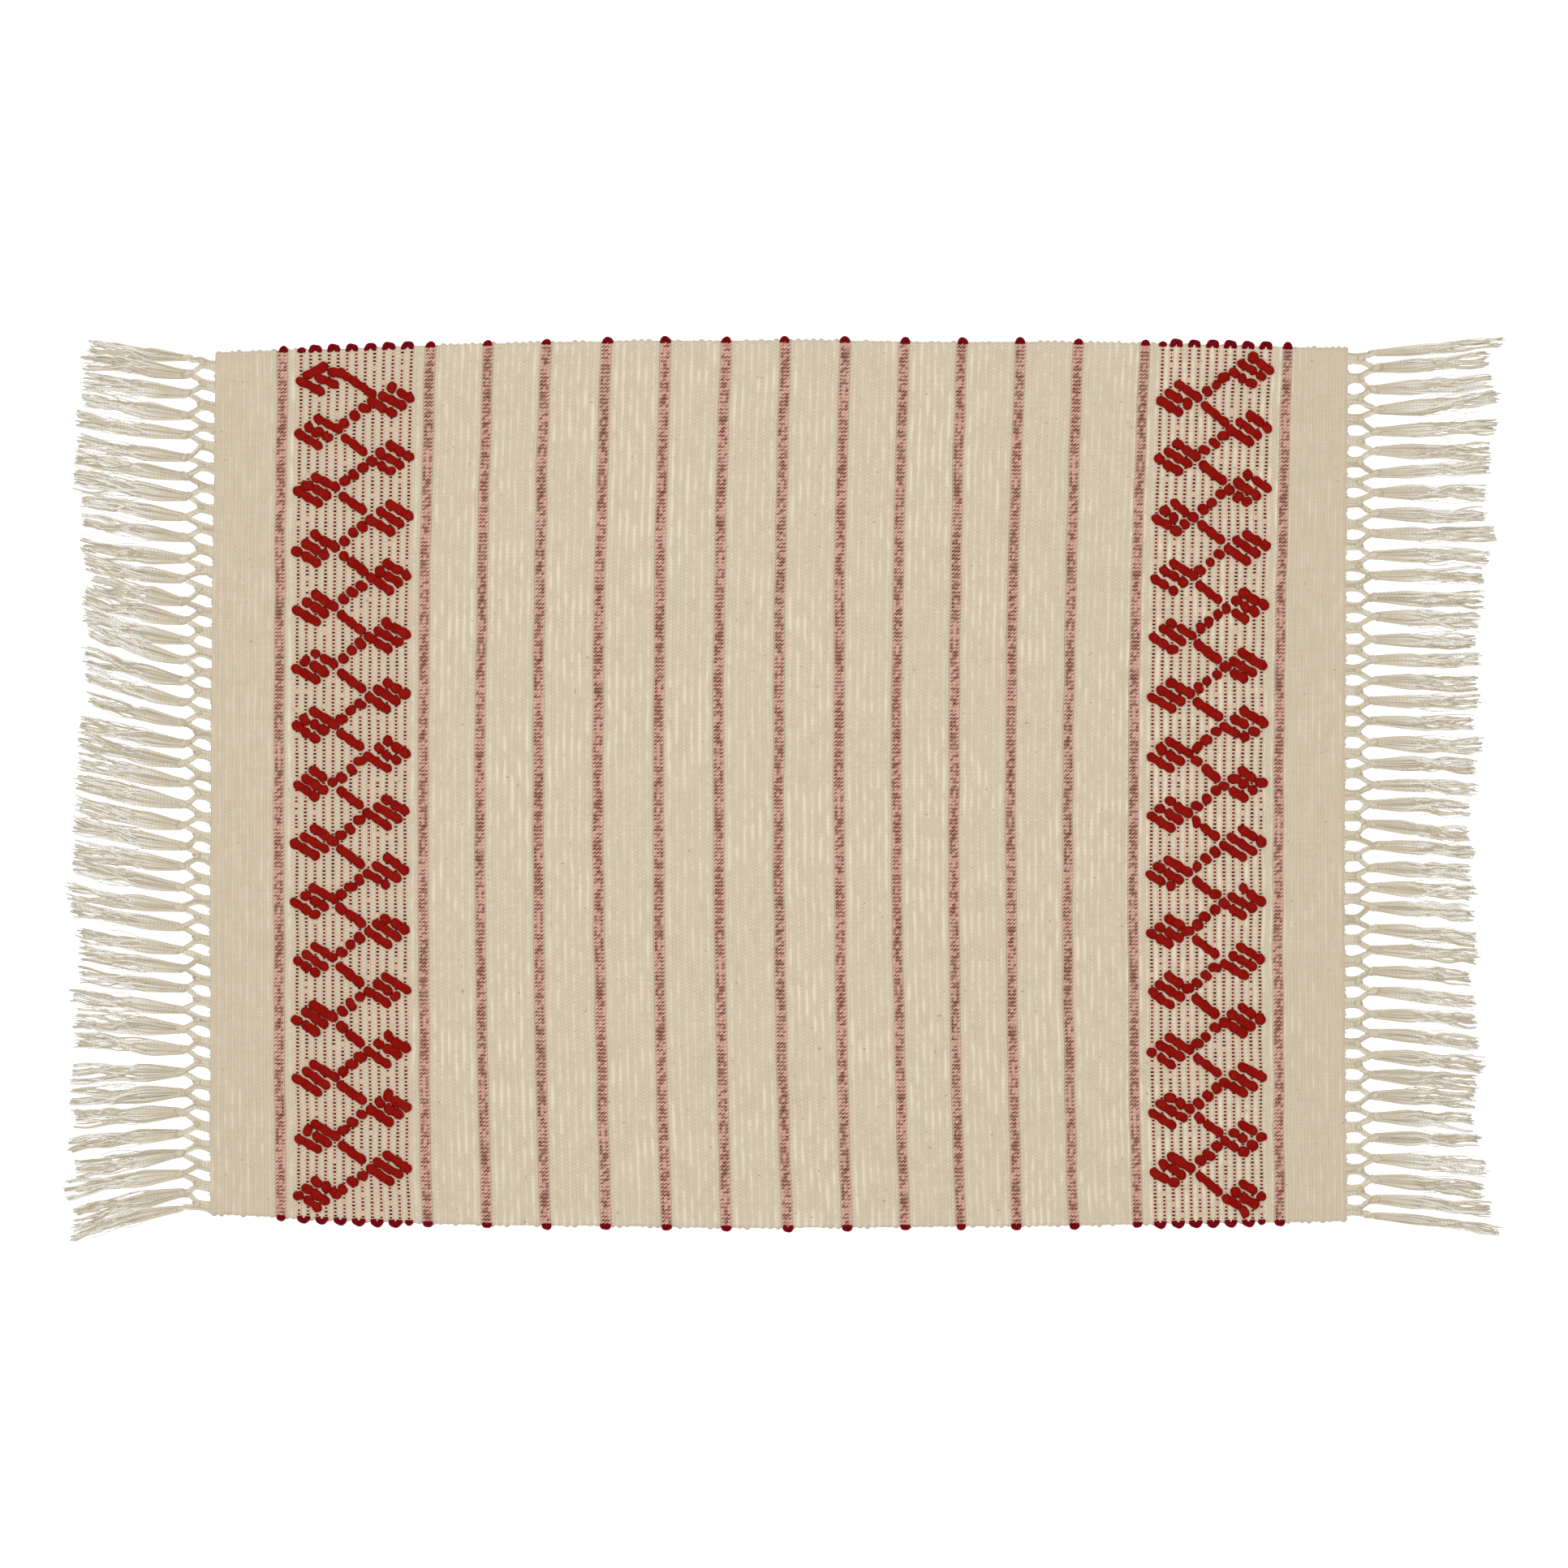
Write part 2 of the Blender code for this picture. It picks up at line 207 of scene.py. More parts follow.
@dataclass(frozen=True)
class Lie:
    """How the cloth lies on the floor: narrower towards its ends, with picks that bow a little.

    It is drawn in by the inset all along, and by more at its ends. It lies a little to -Y.
    """

    cloth_end: float
    selvedge: float
    draw_in: float = 6.4 * MM
    uneven: float = 2.0 * MM
    inset: float = 0.8 * MM
    aside: float = 0.5 * MM
    shape: tuple[tuple[float, float, float, float], ...] = (
        (-1.00, 0.0, 1.8, 1.4),
        (-0.88, -0.7, 0.6, 2.0),
        (-0.62, -0.6, 1.2, 4.0),
        (-0.45, -2.0, 0.2, 5.6),
        (0.12, 3.6, -0.6, 5.2),
        (0.62, -1.3, 2.5, 5.6),
        (0.88, -1.7, 2.6, 3.6),
        (1.00, -4.4, 0.6, 2.0),
    )
    wander: Ripple = Ripple(0.28 * MM, 70 * MM, 1)
    breathe: Ripple = Ripple(0.35 * MM, 150 * MM, 2)

    def place(self, x: Array, y: Array) -> tuple[Array, Array]:
        """Where a point of the straight cloth lies.

        Each row of the shape gives a station along the cloth, and there the picks' shift, lean and
        bow in millimetres.

        Args:
            x: Places along the warp.
            y: Places along the weft.

        Returns:
            The two places as the cloth lies.
        """
        along = x / self.cloth_end
        across = y / self.selvedge
        stations, *rows = (np.array(column) for column in zip(*self.shape))
        shift, lean, bow = (np.interp(along, stations, row) * MM for row in rows)
        moved = x + shift + lean * across + bow * (across**2 - 1 / 3) + self.wander.at(x, y)
        end = np.clip(along, -1.0, 1.0)
        drawn = (self.draw_in - self.uneven * end) * end**2 + self.inset
        narrow = 1.0 - drawn / self.selvedge
        return moved, y * narrow - self.aside + self.breathe.at(x, y)


class MeshMaker:
    """Gathers points and faces, with each corner's place on its yarn, and makes one object of them."""

    def __init__(self) -> None:
        """Starts with nothing gathered."""
        self._points: list[Array] = []
        self._faces: list[tuple[Array, Array, bool]] = []
        self._count = 0
        self._strands = 0

    def points(self, block: Array) -> Array:
        """Adds points.

        Args:
            block: Places, in an array of any shape whose last side is 3.

        Returns:
            The points' numbers, in the block's shape without its last side.
        """
        flat = np.ascontiguousarray(block, dtype=float).reshape(-1, 3)
        numbers = np.arange(self._count, self._count + len(flat)).reshape(block.shape[:-1])
        self._points.append(flat)
        self._count += len(flat)
        return numbers

    def faces(self, corners: Array, yarn: Array, smooth: bool = True) -> None:
        """Adds faces that all have equally many corners.

        Args:
            corners: The points' numbers, (faces, corners).
            yarn: Each corner's place along and around its yarn, (faces, corners, 2).
            smooth: Whether the faces shade as one smooth surface.
        """
        self._faces.append((corners, yarn, smooth))

    @staticmethod
    def _directions(lines: Array, ups: Array | None) -> tuple[Array, Array]:
        """Which way is sideways and which is up, both square to each line.

        Args:
            lines: The middle lines, (tubes, rings, 3).
            ups: Which way is roughly up at each ring. It is +Z unless given.

        Returns:
            The two directions at each ring.
        """
        ahead = np.gradient(lines, axis=1)
        ahead /= np.linalg.norm(ahead, axis=2, keepdims=True) + TINY
        up = np.broadcast_to(np.array([0.0, 0.0, 1.0]), lines.shape) if ups is None else ups
        side = np.cross(up, ahead)
        side /= np.linalg.norm(side, axis=2, keepdims=True) + TINY
        return side, np.cross(ahead, side)

    def tubes(
        self,
        lines: Array,
        radii: Array,
        sides: int,
        ups: Array | None = None,
        plies: int = 0,
        ply_depth: float = 0.0,
        ply_length: float = 4 * MM,
    ) -> None:
        """Adds closed tubes, one along each line.

        Args:
            lines: The middle lines, (tubes, rings, 3).
            radii: Half the width and half the height of each ring, (tubes, rings, 2).
            sides: How many sides a tube has.
            ups: Which way is up at each ring. It is +Z unless given.
            plies: How many plies show as twisted ridges.
            ply_depth: How deep the grooves between plies are, as a share of the radius.
            ply_length: How far along the yarn a ply runs in one turn.
        """
        tubes = len(lines)
        side, top = self._directions(lines, ups)
        steps = np.linalg.norm(np.diff(lines, axis=1), axis=2)
        along = np.concatenate([np.zeros((tubes, 1)), np.cumsum(steps, axis=1)], axis=1)
        turn = np.arange(sides) / sides
        angle = 2 * math.pi * turn
        strand = (self._strands + np.arange(tubes))[:, None, None]
        self._strands += tubes
        swell = 1.0
        if plies:
            lag = 2 * math.pi * along / ply_length
            swell = 1.0 + ply_depth * np.cos(plies * angle - lag[..., None])
        across = (radii[..., 0, None] * swell * np.cos(angle))[..., None] * side[:, :, None]
        upright = (radii[..., 1, None] * swell * np.sin(angle))[..., None] * top[:, :, None]
        numbers = self.points(lines[:, :, None] + across + upright)
        ahead_by_one = np.roll(numbers, -1, axis=2)
        corners = (numbers[:, :-1], ahead_by_one[:, :-1], ahead_by_one[:, 1:], numbers[:, 1:])
        quads = np.stack(corners, axis=-1).reshape(-1, 4)
        start = np.broadcast_to(along[:, :-1, None], numbers[:, :-1].shape) / MM
        stop = np.broadcast_to(along[:, 1:, None], start.shape) / MM
        low = np.broadcast_to(turn, start.shape) + strand
        high = low + 1 / sides
        places = ((start, low), (start, high), (stop, high), (stop, low))
        yarn = np.stack([np.stack(p, axis=-1) for p in places], axis=-2).reshape(-1, 4, 2)
        self.faces(quads, yarn)
        for ring, order in ((0, -1), (-1, 1)):
            caps = numbers[:, ring, ::order]
            where = np.stack([np.broadcast_to(along[:, ring, None], caps.shape) / MM,
                              np.broadcast_to(turn[::order], caps.shape) + strand[..., 0]], axis=-1)
            self.faces(caps, where)

    def build(self, name: str, finish: bpy.types.Material) -> bpy.types.Object:
        """Makes the object.

        Args:
            name: The frame's node that the object stands for.
            finish: Its material.

        Returns:
            The object, in the scene.
        """
        name += SUFFIX
        mesh = bpy.data.meshes.new(name)
        corners = np.concatenate([c.ravel() for c, _, _ in self._faces])
        sizes = np.concatenate([np.full(len(c), c.shape[1]) for c, _, _ in self._faces])
        smooth = np.concatenate([np.full(len(c), s) for c, _, s in self._faces])
        yarn = np.concatenate([y.reshape(-1, 2) for _, y, _ in self._faces])
        mesh.vertices.add(self._count)
        mesh.vertices.foreach_set("co", np.concatenate(self._points).astype(np.float32).ravel())
        mesh.loops.add(len(corners))
        mesh.loops.foreach_set("vertex_index", corners.astype(np.int32))
        mesh.polygons.add(len(sizes))
        starts = np.concatenate([[0], np.cumsum(sizes)[:-1]])
        mesh.polygons.foreach_set("loop_start", starts.astype(np.int32))
        mesh.polygons.foreach_set("use_smooth", smooth)
        mesh.update(calc_edges=True)
        layer = mesh.uv_layers.new(name=YARN_MAP)
        layer.data.foreach_set("uv", yarn.astype(np.float32).ravel())
        mesh.materials.append(finish)
        item = bpy.data.objects.new(name, mesh)
        bpy.context.scene.collection.objects.link(item)
        log.info("%s: %d faces", name, len(sizes))
        return item


class Wiring:
    """Adds nodes to one shader tree and joins them."""

    def __init__(self, tree: bpy.types.NodeTree) -> None:
        """Takes the tree that the nodes go into."""
        self.tree = tree

    def add(self, kind: str, **settings: object) -> bpy.types.Node:
        """Adds a node.

        Args:
            kind: The node's type.
            settings: Its settings, each by name.

        Returns:
            The node.
        """
        node = self.tree.nodes.new(kind)
        for name, value in settings.items():
            setattr(node, name, value)
        return node

    def feed(self, target: Socket, value: object) -> None:
        """Joins a socket to another, or sets it to a plain value.

        Args:
            target: The socket that takes it.
            value: A socket, a number, a colour or a vector.
        """
        if isinstance(value, bpy.types.NodeSocket):
            self.tree.links.new(value, target)
        elif isinstance(value, tuple) and len(value) == 3 and target.type == "RGBA":
            target.default_value = (*value, 1.0)
        else:
            target.default_value = value

    def math(self, operation: str, *values: object) -> Socket:
        """The result of a Math node.

        Args:
            operation: What the node works out.
            values: Its numbers or sockets, in order.

        Returns:
            The result.
        """
        node = self.add("ShaderNodeMath", operation=operation)
        for target, value in zip(node.inputs, values):
            self.feed(target, value)
        return node.outputs[0]

    def mix(self, share: object, first: object, second: object, blend: str = "MIX") -> Socket:
        """A mix of two colours.

        Args:
            share: How much of the second one there is.
            first: A colour or socket.
            second: A colour or socket.
            blend: The Mix node's way of mixing.

        Returns:
            The mixed colour.
        """
        node = self.add("ShaderNodeMix", data_type="RGBA", blend_type=blend, clamp_result=True)
        self.feed(node.inputs[0], share)
        self.feed(node.inputs[6], first)
        self.feed(node.inputs[7], second)
        return node.outputs[2]

    def step(self, value: object, low: object, high: object, reach: float = 1.0) -> Socket:
        """A smooth step of a value.

        Args:
            value: The value.
            low: Where the step is still 0.
            high: Where it has its whole height.
            reach: Its whole height.

        Returns:
            The step's height at the value.
        """
        node = self.add("ShaderNodeMapRange", interpolation_type="SMOOTHSTEP")
        for target, given in zip(node.inputs, (value, low, high, 0.0, reach)):
            self.feed(target, given)
        return node.outputs[0]

    def noise(self, place: object, scale: float, detail: float = 2.0) -> Socket:
        """A noise pattern.

        Args:
            place: Where it is read.
            scale: How fine it is.
            detail: How much finer detail it has.

        Returns:
            A value of about 0 to 1.
        """
        node = self.add("ShaderNodeTexNoise")
        self.feed(node.inputs["Vector"], place)
        self.feed(node.inputs["Scale"], scale)
        self.feed(node.inputs["Detail"], detail)
        return node.outputs["Fac"]

    def stretch(self, place: object, factors: tuple[float, float, float]) -> Socket:
        """Scales a place.

        Args:
            place: The place.
            factors: Each direction's own factor.

        Returns:
            The scaled place.
        """
        node = self.add("ShaderNodeVectorMath", operation="MULTIPLY")
        self.feed(node.inputs[0], place)
        self.feed(node.inputs[1], factors)
        return node.outputs[0]

    def split(self, place: object) -> tuple[Socket, Socket, Socket]:
        """Takes a vector apart.

        Args:
            place: The vector.

        Returns:
            Its three parts.
        """
        node = self.add("ShaderNodeSeparateXYZ")
        self.feed(node.inputs[0], place)
        return node.outputs[0], node.outputs[1], node.outputs[2]

    def effect(self, group: bpy.types.NodeTree, **inputs: object) -> bpy.types.Node:
        """Adds a shared effect.

        Args:
            group: The effect's group.
            inputs: Its inputs, each by name, with _ for a space.

        Returns:
            The group's node.
        """
        node = self.add("ShaderNodeGroup", node_tree=group)
        for name, value in inputs.items():
            self.feed(node.inputs[name.replace("_", " ")], value)
        return node


@dataclass
class Effects:
    """The shader effects that several finishes share, each a node group."""

    weave: bpy.types.NodeTree = field(init=False)
    yarn_tone: bpy.types.NodeTree = field(init=False)
    ply: bpy.types.NodeTree = field(init=False)
    fibre: bpy.types.NodeTree = field(init=False)

    def __post_init__(self) -> None:
        """Builds each group once."""
        self.weave = self._plain_weave()
        self.yarn_tone = self._handspun_tone()
        self.ply = self._twisted_ply()
        self.fibre = self._loose_fibre()

    @staticmethod
    def _group(
        name: str, inputs: dict[str, object], outputs: Sequence[str]
    ) -> tuple[Wiring, bpy.types.Node, bpy.types.Node]:
        """An empty group with its sockets.

        Args:
            name: The group's name.
            inputs: Each input's name and first value, a number or three.
            outputs: The outputs' names, all single values.

        Returns:
            The group's wiring, its input node and its output node.
        """
        tree = bpy.data.node_groups.new(name, "ShaderNodeTree")
        for label, value in inputs.items():
            kind = "NodeSocketVector" if isinstance(value, tuple) else "NodeSocketFloat"
            socket = tree.interface.new_socket(name=label, in_out="INPUT", socket_type=kind)
            socket.default_value = value
        for label in outputs:
            tree.interface.new_socket(name=label, in_out="OUTPUT", socket_type="NodeSocketFloat")
        wiring = Wiring(tree)
        return wiring, wiring.add("NodeGroupInput"), wiring.add("NodeGroupOutput")

    def _plain_weave(self) -> bpy.types.NodeTree:
        """Plain weave: which thread is on top, how round it stands, and which picks stand proud.

        Returns:
            The group. Its last output is a value of its own for each stretch of yarn on top.
        """
        w, given, out = self._group(
            "Plain Weave",
            {"Thread Count": (0.0, 0.0, 0.0), "Slant": 0.0, "Edge": 0.35},
            ("Warp Over", "Crown", "Ridge", "Own"),
        )
        pick, warp, _ = w.split(given.outputs["Thread Count"])
        leaned = w.math("ADD", warp, w.math("MULTIPLY", pick, given.outputs["Slant"]))
        along = w.math("SINE", w.math("MULTIPLY", pick, math.pi))
        across = w.math("SINE", w.math("MULTIPLY", leaned, math.pi))
        check = w.math("MULTIPLY", along, across)
        edge = given.outputs["Edge"]
        w.feed(out.inputs["Warp Over"], w.step(check, w.math("MULTIPLY", edge, -1.0), edge))
        w.feed(out.inputs["Crown"], w.math("SQRT", w.math("ABSOLUTE", check)))
        w.feed(out.inputs["Ridge"], w.math("MULTIPLY_ADD", along, 0.5, 0.5))
        cell = w.add("ShaderNodeCombineXYZ")
        w.feed(cell.inputs[0], w.math("FLOOR", w.math("MULTIPLY", leaned, 0.5)))
        w.feed(cell.inputs[1], w.math("FLOOR", w.math("ADD", pick, NUDGE)))
        own = w.add("ShaderNodeTexWhiteNoise", noise_dimensions="2D")
        w.feed(own.inputs["Vector"], cell.outputs[0])
        w.feed(out.inputs["Own"], own.outputs["Value"])
        return w.tree

    def _handspun_tone(self) -> bpy.types.NodeTree:
        """Streaks, broken lines, slubs, blots and flecks of handspun yarn, and slow clouds.

        Returns:
            The group. All but the last two of its outputs follow single threads.
        """
        w, given, out = self._group(
            "Handspun Tone",
            {"Thread Count": (0.0, 0.0, 0.0), "Position": (0.0, 0.0, 0.0)},
            ("Streak", "Dash", "Slub", "Blot", "Fleck", "Cloud"),
        )
        count = given.outputs["Thread Count"]
        place = given.outputs["Position"]
        # Streaks run mostly along the picks, and a little along the warp.
        weft = w.noise(w.stretch(count, (0.93, 0.045, 1.0)), 1.0, 3.0)
        warp = w.noise(w.stretch(count, (0.05, 0.9, 1.0)), 1.0, 2.0)
        streak = w.math("ADD", w.math("MULTIPLY", weft, 0.65), w.math("MULTIPLY", warp, 0.35))
        w.feed(out.inputs["Streak"], w.step(streak, 0.32, 0.68))
        # A line breaks off and starts again along its pick.
        dash = w.noise(w.stretch(count, (0.43, 0.075, 1.0)), 1.0, 2.0)
        w.feed(out.inputs["Dash"], w.step(dash, 0.42, 0.62))
        # Slubs are short thick places, and now and then a long one.
        grain = w.noise(w.stretch(count, (0.72, 0.62, 1.0)), 1.0, 1.0)
        long = w.noise(w.stretch(count, (0.03, 0.8, 1.0)), 1.0, 0.0)
        slub = w.math("MAXIMUM", w.step(grain, 0.60, 0.78, 0.8), w.step(long, 0.78, 0.86, 0.6))
        w.feed(out.inputs["Slub"], slub)
        w.feed(out.inputs["Blot"], w.noise(w.stretch(count, (0.4, 0.27, 1.0)), 1.0, 2.0))
        # Flecks are bits of husk, and clouds are slow changes over the whole cloth.
        speck = w.noise(w.stretch(place, (420.0, 360.0, 360.0)), 1.0, 0.0)
        w.feed(out.inputs["Fleck"], w.step(speck, 0.83, 0.88))
        w.feed(out.inputs["Cloud"], w.noise(place, 14.0, 3.0))
        return w.tree

    def _twisted_ply(self) -> bpy.types.NodeTree:
        """The twisted plies of a yarn, from the place along it in millimetres and around it.

        Returns:
            The group. Its third output is a value of its own for each yarn.
        """
        w, given, out = self._group(
            "Twisted Ply",
            {"Yarn Place": (0.0, 0.0, 0.0), "Plies": 3.0, "Turns": 0.25},
            ("Ridge", "Groove", "Strand", "Along"),
        )
        along, around, _ = w.split(given.outputs["Yarn Place"])
        own = w.add("ShaderNodeTexWhiteNoise", noise_dimensions="1D")
        w.feed(own.inputs["W"], w.math("FLOOR", w.math("ADD", around, NUDGE)))
        w.feed(out.inputs["Strand"], own.outputs["Value"])
        w.feed(out.inputs["Along"], along)
        lag = w.math("MULTIPLY", along, given.outputs["Turns"])
        phase = w.math("SUBTRACT", w.math("MULTIPLY", around, given.outputs["Plies"]), lag)
        wave = w.math("COSINE", w.math("MULTIPLY", phase, 2 * math.pi))
        w.feed(out.inputs["Ridge"], w.math("MULTIPLY_ADD", wave, 0.5, 0.5))
        w.feed(out.inputs["Groove"], w.step(wave, -0.55, -0.95))
        return w.tree

    def _loose_fibre(self) -> bpy.types.NodeTree:
        """Fine fibres that lie loosely over a yarn.

        Returns:
            The group.
        """
        w, given, out = self._group(
            "Loose Fibre",
            {"Position": (0.0, 0.0, 0.0), "Fineness": 1500.0},
            ("Height", "Tone"),
        )
        place = given.outputs["Position"]
        fine = w.add("ShaderNodeTexNoise")
        w.feed(fine.inputs["Vector"], place)
        w.feed(fine.inputs["Scale"], given.outputs["Fineness"])
        w.feed(fine.inputs["Detail"], 3.0)
        w.feed(fine.inputs["Distortion"], 1.2)
        w.feed(out.inputs["Height"], fine.outputs["Fac"])
        w.feed(out.inputs["Tone"], w.step(fine.outputs["Fac"], 0.35, 0.65))
        return w.tree


@dataclass(frozen=True)
class Finish:
    """What every cotton finish has: a matt, slightly fuzzy surface."""

    name: str
    roughness: float = 0.9
    wear: float = 0.1
    sheen: float = 0.25
    sheen_roughness: float = 0.55
    shine: float = 0.25
    bump: float = 0.5
    depth: float = 0.35 * MM

    def start(self) -> tuple[Wiring, bpy.types.Material, Socket, Socket, bpy.types.Node]:
        """A new material.

        Returns:
            Its wiring, the material, the place on the yarn, the place in the rug's frame and the
            shader.
        """
        material = bpy.data.materials.new(self.name)
        material.use_nodes = True
        w = Wiring(material.node_tree)
        shader = material.node_tree.nodes["Principled BSDF"]
        shader.inputs["Sheen Weight"].default_value = self.sheen
        shader.inputs["Sheen Roughness"].default_value = self.sheen_roughness
        shader.inputs["Specular IOR Level"].default_value = self.shine
        yarn = w.add("ShaderNodeUVMap", uv_map=YARN_MAP).outputs[0]
        place = w.add("ShaderNodeTexCoord").outputs["Object"]
        return w, material, yarn, place, shader

    def end(
        self, w: Wiring, shader: bpy.types.Node, colour: Socket, height: Socket, worn: Socket
    ) -> None:
        """Joins the colour and relief to the shader.

        Args:
            w: The material's wiring.
            shader: Its shader.
            colour: The surface's colour.
            height: Its relief, 0 to 1.
            worn: A value, 0 to 1, that varies the roughness.
        """
        w.feed(shader.inputs["Base Color"], colour)
        rough = w.math("MULTIPLY_ADD", worn, self.wear, self.roughness - self.wear / 2)
        w.feed(shader.inputs["Roughness"], rough)
        relief = w.add("ShaderNodeBump")
        relief.inputs["Strength"].default_value = self.bump
        relief.inputs["Distance"].default_value = self.depth
        w.feed(relief.inputs["Height"], height)
        w.feed(shader.inputs["Normal"], relief.outputs[0])


@dataclass(frozen=True)
class WovenFinish(Finish):
    """Plain-woven cotton, with colours for warp and weft, and painted shade in the hollows between
    them.

    A tone is how much of a colour there is: painted highlight on proud ridges, paler yarn on slubs
    and the band's borders, deep on the weft, and painted shade in the hollows between the threads.
    Blot and patchy are how much single stretches differ.
    """

    warp: Colour = (0.8, 0.8, 0.8)
    weft: Colour = (0.8, 0.8, 0.8)
    hollow: Colour = (0.5, 0.5, 0.5)
    pale: Colour = (0.9, 0.9, 0.9)
    slant: float = 0.0
    edge: float = 0.35
    ridge_tone: float = 0.25
    hollow_tone: float = 0.5
    slub_tone: float = 0.5
    streak_tone: float = 0.18
    fleck: Colour = dye(128, 116, 96)
    fleck_tone: float = 0.5
    cloud_tone: float = 0.05
    veil: float = 0.0
    blot: float = 0.0
    patchy: float = 0.0
    spot: float = 0.0
    deep: Colour = (0.1, 0.0, 0.0)
    deep_tone: float = 0.0
    border_tone: float = 0.0
    picks: float = 3.0

    def _threads(self, w: Wiring, weave: bpy.types.Node, tone: bpy.types.Node) -> Socket:
        """The colour of the warp and the weft, where stretches of yarn differ from their neighbours.

        Args:
            w: The material's wiring.
            weave: The weave's effect.
            tone: The yarn's tones.

        Returns:
            The colour.
        """
        own, dash, blot = weave.outputs["Own"], tone.outputs["Dash"], tone.outputs["Blot"]
        deep = w.math("MULTIPLY_ADD", w.step(own, 0.1, 0.6), 0.65, w.math("MULTIPLY", dash, 0.35))
        under = w.mix(w.math("MULTIPLY", deep, self.deep_tone), self.weft, self.deep)
        colour = w.mix(weave.outputs["Warp Over"], under, self.warp)
        colour = w.mix(w.math("MULTIPLY", dash, self.veil), colour, self.deep)
        colour = w.mix(w.step(own, 0.66, 0.72, self.patchy), colour, self.deep)
        colour = w.mix(w.step(own, 0.30, 0.24, self.patchy * 1.1), colour, self.warp)
        colour = w.mix(w.step(blot, 0.53, 0.63, self.blot), colour, self.deep)
        return w.mix(w.step(blot, 0.45, 0.35, self.blot), colour, self.warp)

    def _heights(
        self, w: Wiring, weave: bpy.types.Node, tone: bpy.types.Node, colour: Socket
    ) -> Socket:
        """Painted highlights on the proud ridges, as pale lines that show more in some parts of the
        cloth than in others and as pale spots, and painted shade in the hollows.

        Args:
            w: The material's wiring.
            weave: The weave's effect.
            tone: The yarn's tones.
            colour: The colour so far.

        Returns:
            The colour.
        """
        # Painted highlight: pale broken lines along the proud ridges, stronger in some parts of the
        # cloth than in others.
        ridge = weave.outputs["Ridge"]
        dash = w.math("MULTIPLY_ADD", tone.outputs["Dash"], 0.8, 0.2)
        part = w.math("MULTIPLY_ADD", w.step(tone.outputs["Cloud"], 0.4, 0.6), 0.65, 0.35)
        broken_highlight = w.math("MULTIPLY", w.math("MULTIPLY", ridge, dash), part)
        colour = w.mix(w.math("MULTIPLY", broken_highlight, self.ridge_tone), colour, self.pale)
        # Painted highlight: pale spots on the proud ridges, on stretches of yarn chosen at random.
        spot = w.math("MULTIPLY", w.step(weave.outputs["Own"], 0.62, 0.95), ridge)
        colour = w.mix(w.math("MULTIPLY", spot, self.spot), colour, self.pale)
        # Painted shade: the hollows between the threads, where the crown is low, darken towards the
        # hollow shade colour.
        hollow = w.step(weave.outputs["Crown"], 0.75, 0.1)
        return w.mix(w.math("MULTIPLY", hollow, self.hollow_tone), colour, self.hollow)

    def _spinning(self, w: Wiring, tone: bpy.types.Node, colour: Socket) -> Socket:
        """The streaks, slubs, flecks and clouds of handspun yarn.

        Args:
            w: The material's wiring.
            tone: The yarn's tones.
            colour: The colour so far.

        Returns:
            The colour.
        """
        streak = w.math("MULTIPLY", tone.outputs["Streak"], self.streak_tone)
        colour = w.mix(streak, colour, self.pale)
        slub = w.math("MULTIPLY", tone.outputs["Slub"], self.slub_tone)
        colour = w.mix(slub, colour, self.pale)
        fleck = w.math("MULTIPLY", tone.outputs["Fleck"], self.fleck_tone)
        colour = w.mix(fleck, colour, self.fleck)
        # Clouds are slow, real changes of tone over the cloth. They darken towards the same colour as
        # the painted shade in the hollows.
        cloud = w.step(tone.outputs["Cloud"], 0.3, 0.7)
        return w.mix(w.math("MULTIPLY", cloud, self.cloud_tone), colour, self.hollow)

    def make(self, effects: Effects) -> bpy.types.Material:
        """Builds the material.

        Args:
            effects: The shared effects.

        Returns:
            The material.
        """
        w, material, yarn, place, shader = self.start()
        weave = w.effect(effects.weave, Thread_Count=yarn, Slant=self.slant, Edge=self.edge)
        tone = w.effect(effects.yarn_tone, Thread_Count=yarn, Position=place)
        fibre = w.effect(effects.fibre, Position=place)
        colour = self._threads(w, weave, tone)
        colour = self._heights(w, weave, tone, colour)
        colour = self._spinning(w, tone, colour)
        pick, _, _ = w.split(yarn)
        half = self.picks / 2
        from_middle = w.math("ABSOLUTE", w.math("SUBTRACT", pick, half))
        border = w.step(from_middle, half - 0.42, half - 0.08, self.border_tone)
        colour = w.mix(border, colour, self.pale)
        fuzz = w.math("MULTIPLY", fibre.outputs["Height"], 0.45)
        height = w.math("MULTIPLY_ADD", weave.outputs["Crown"], 0.7, fuzz)
        self.end(w, shader, colour, height, fibre.outputs["Tone"])
        return material


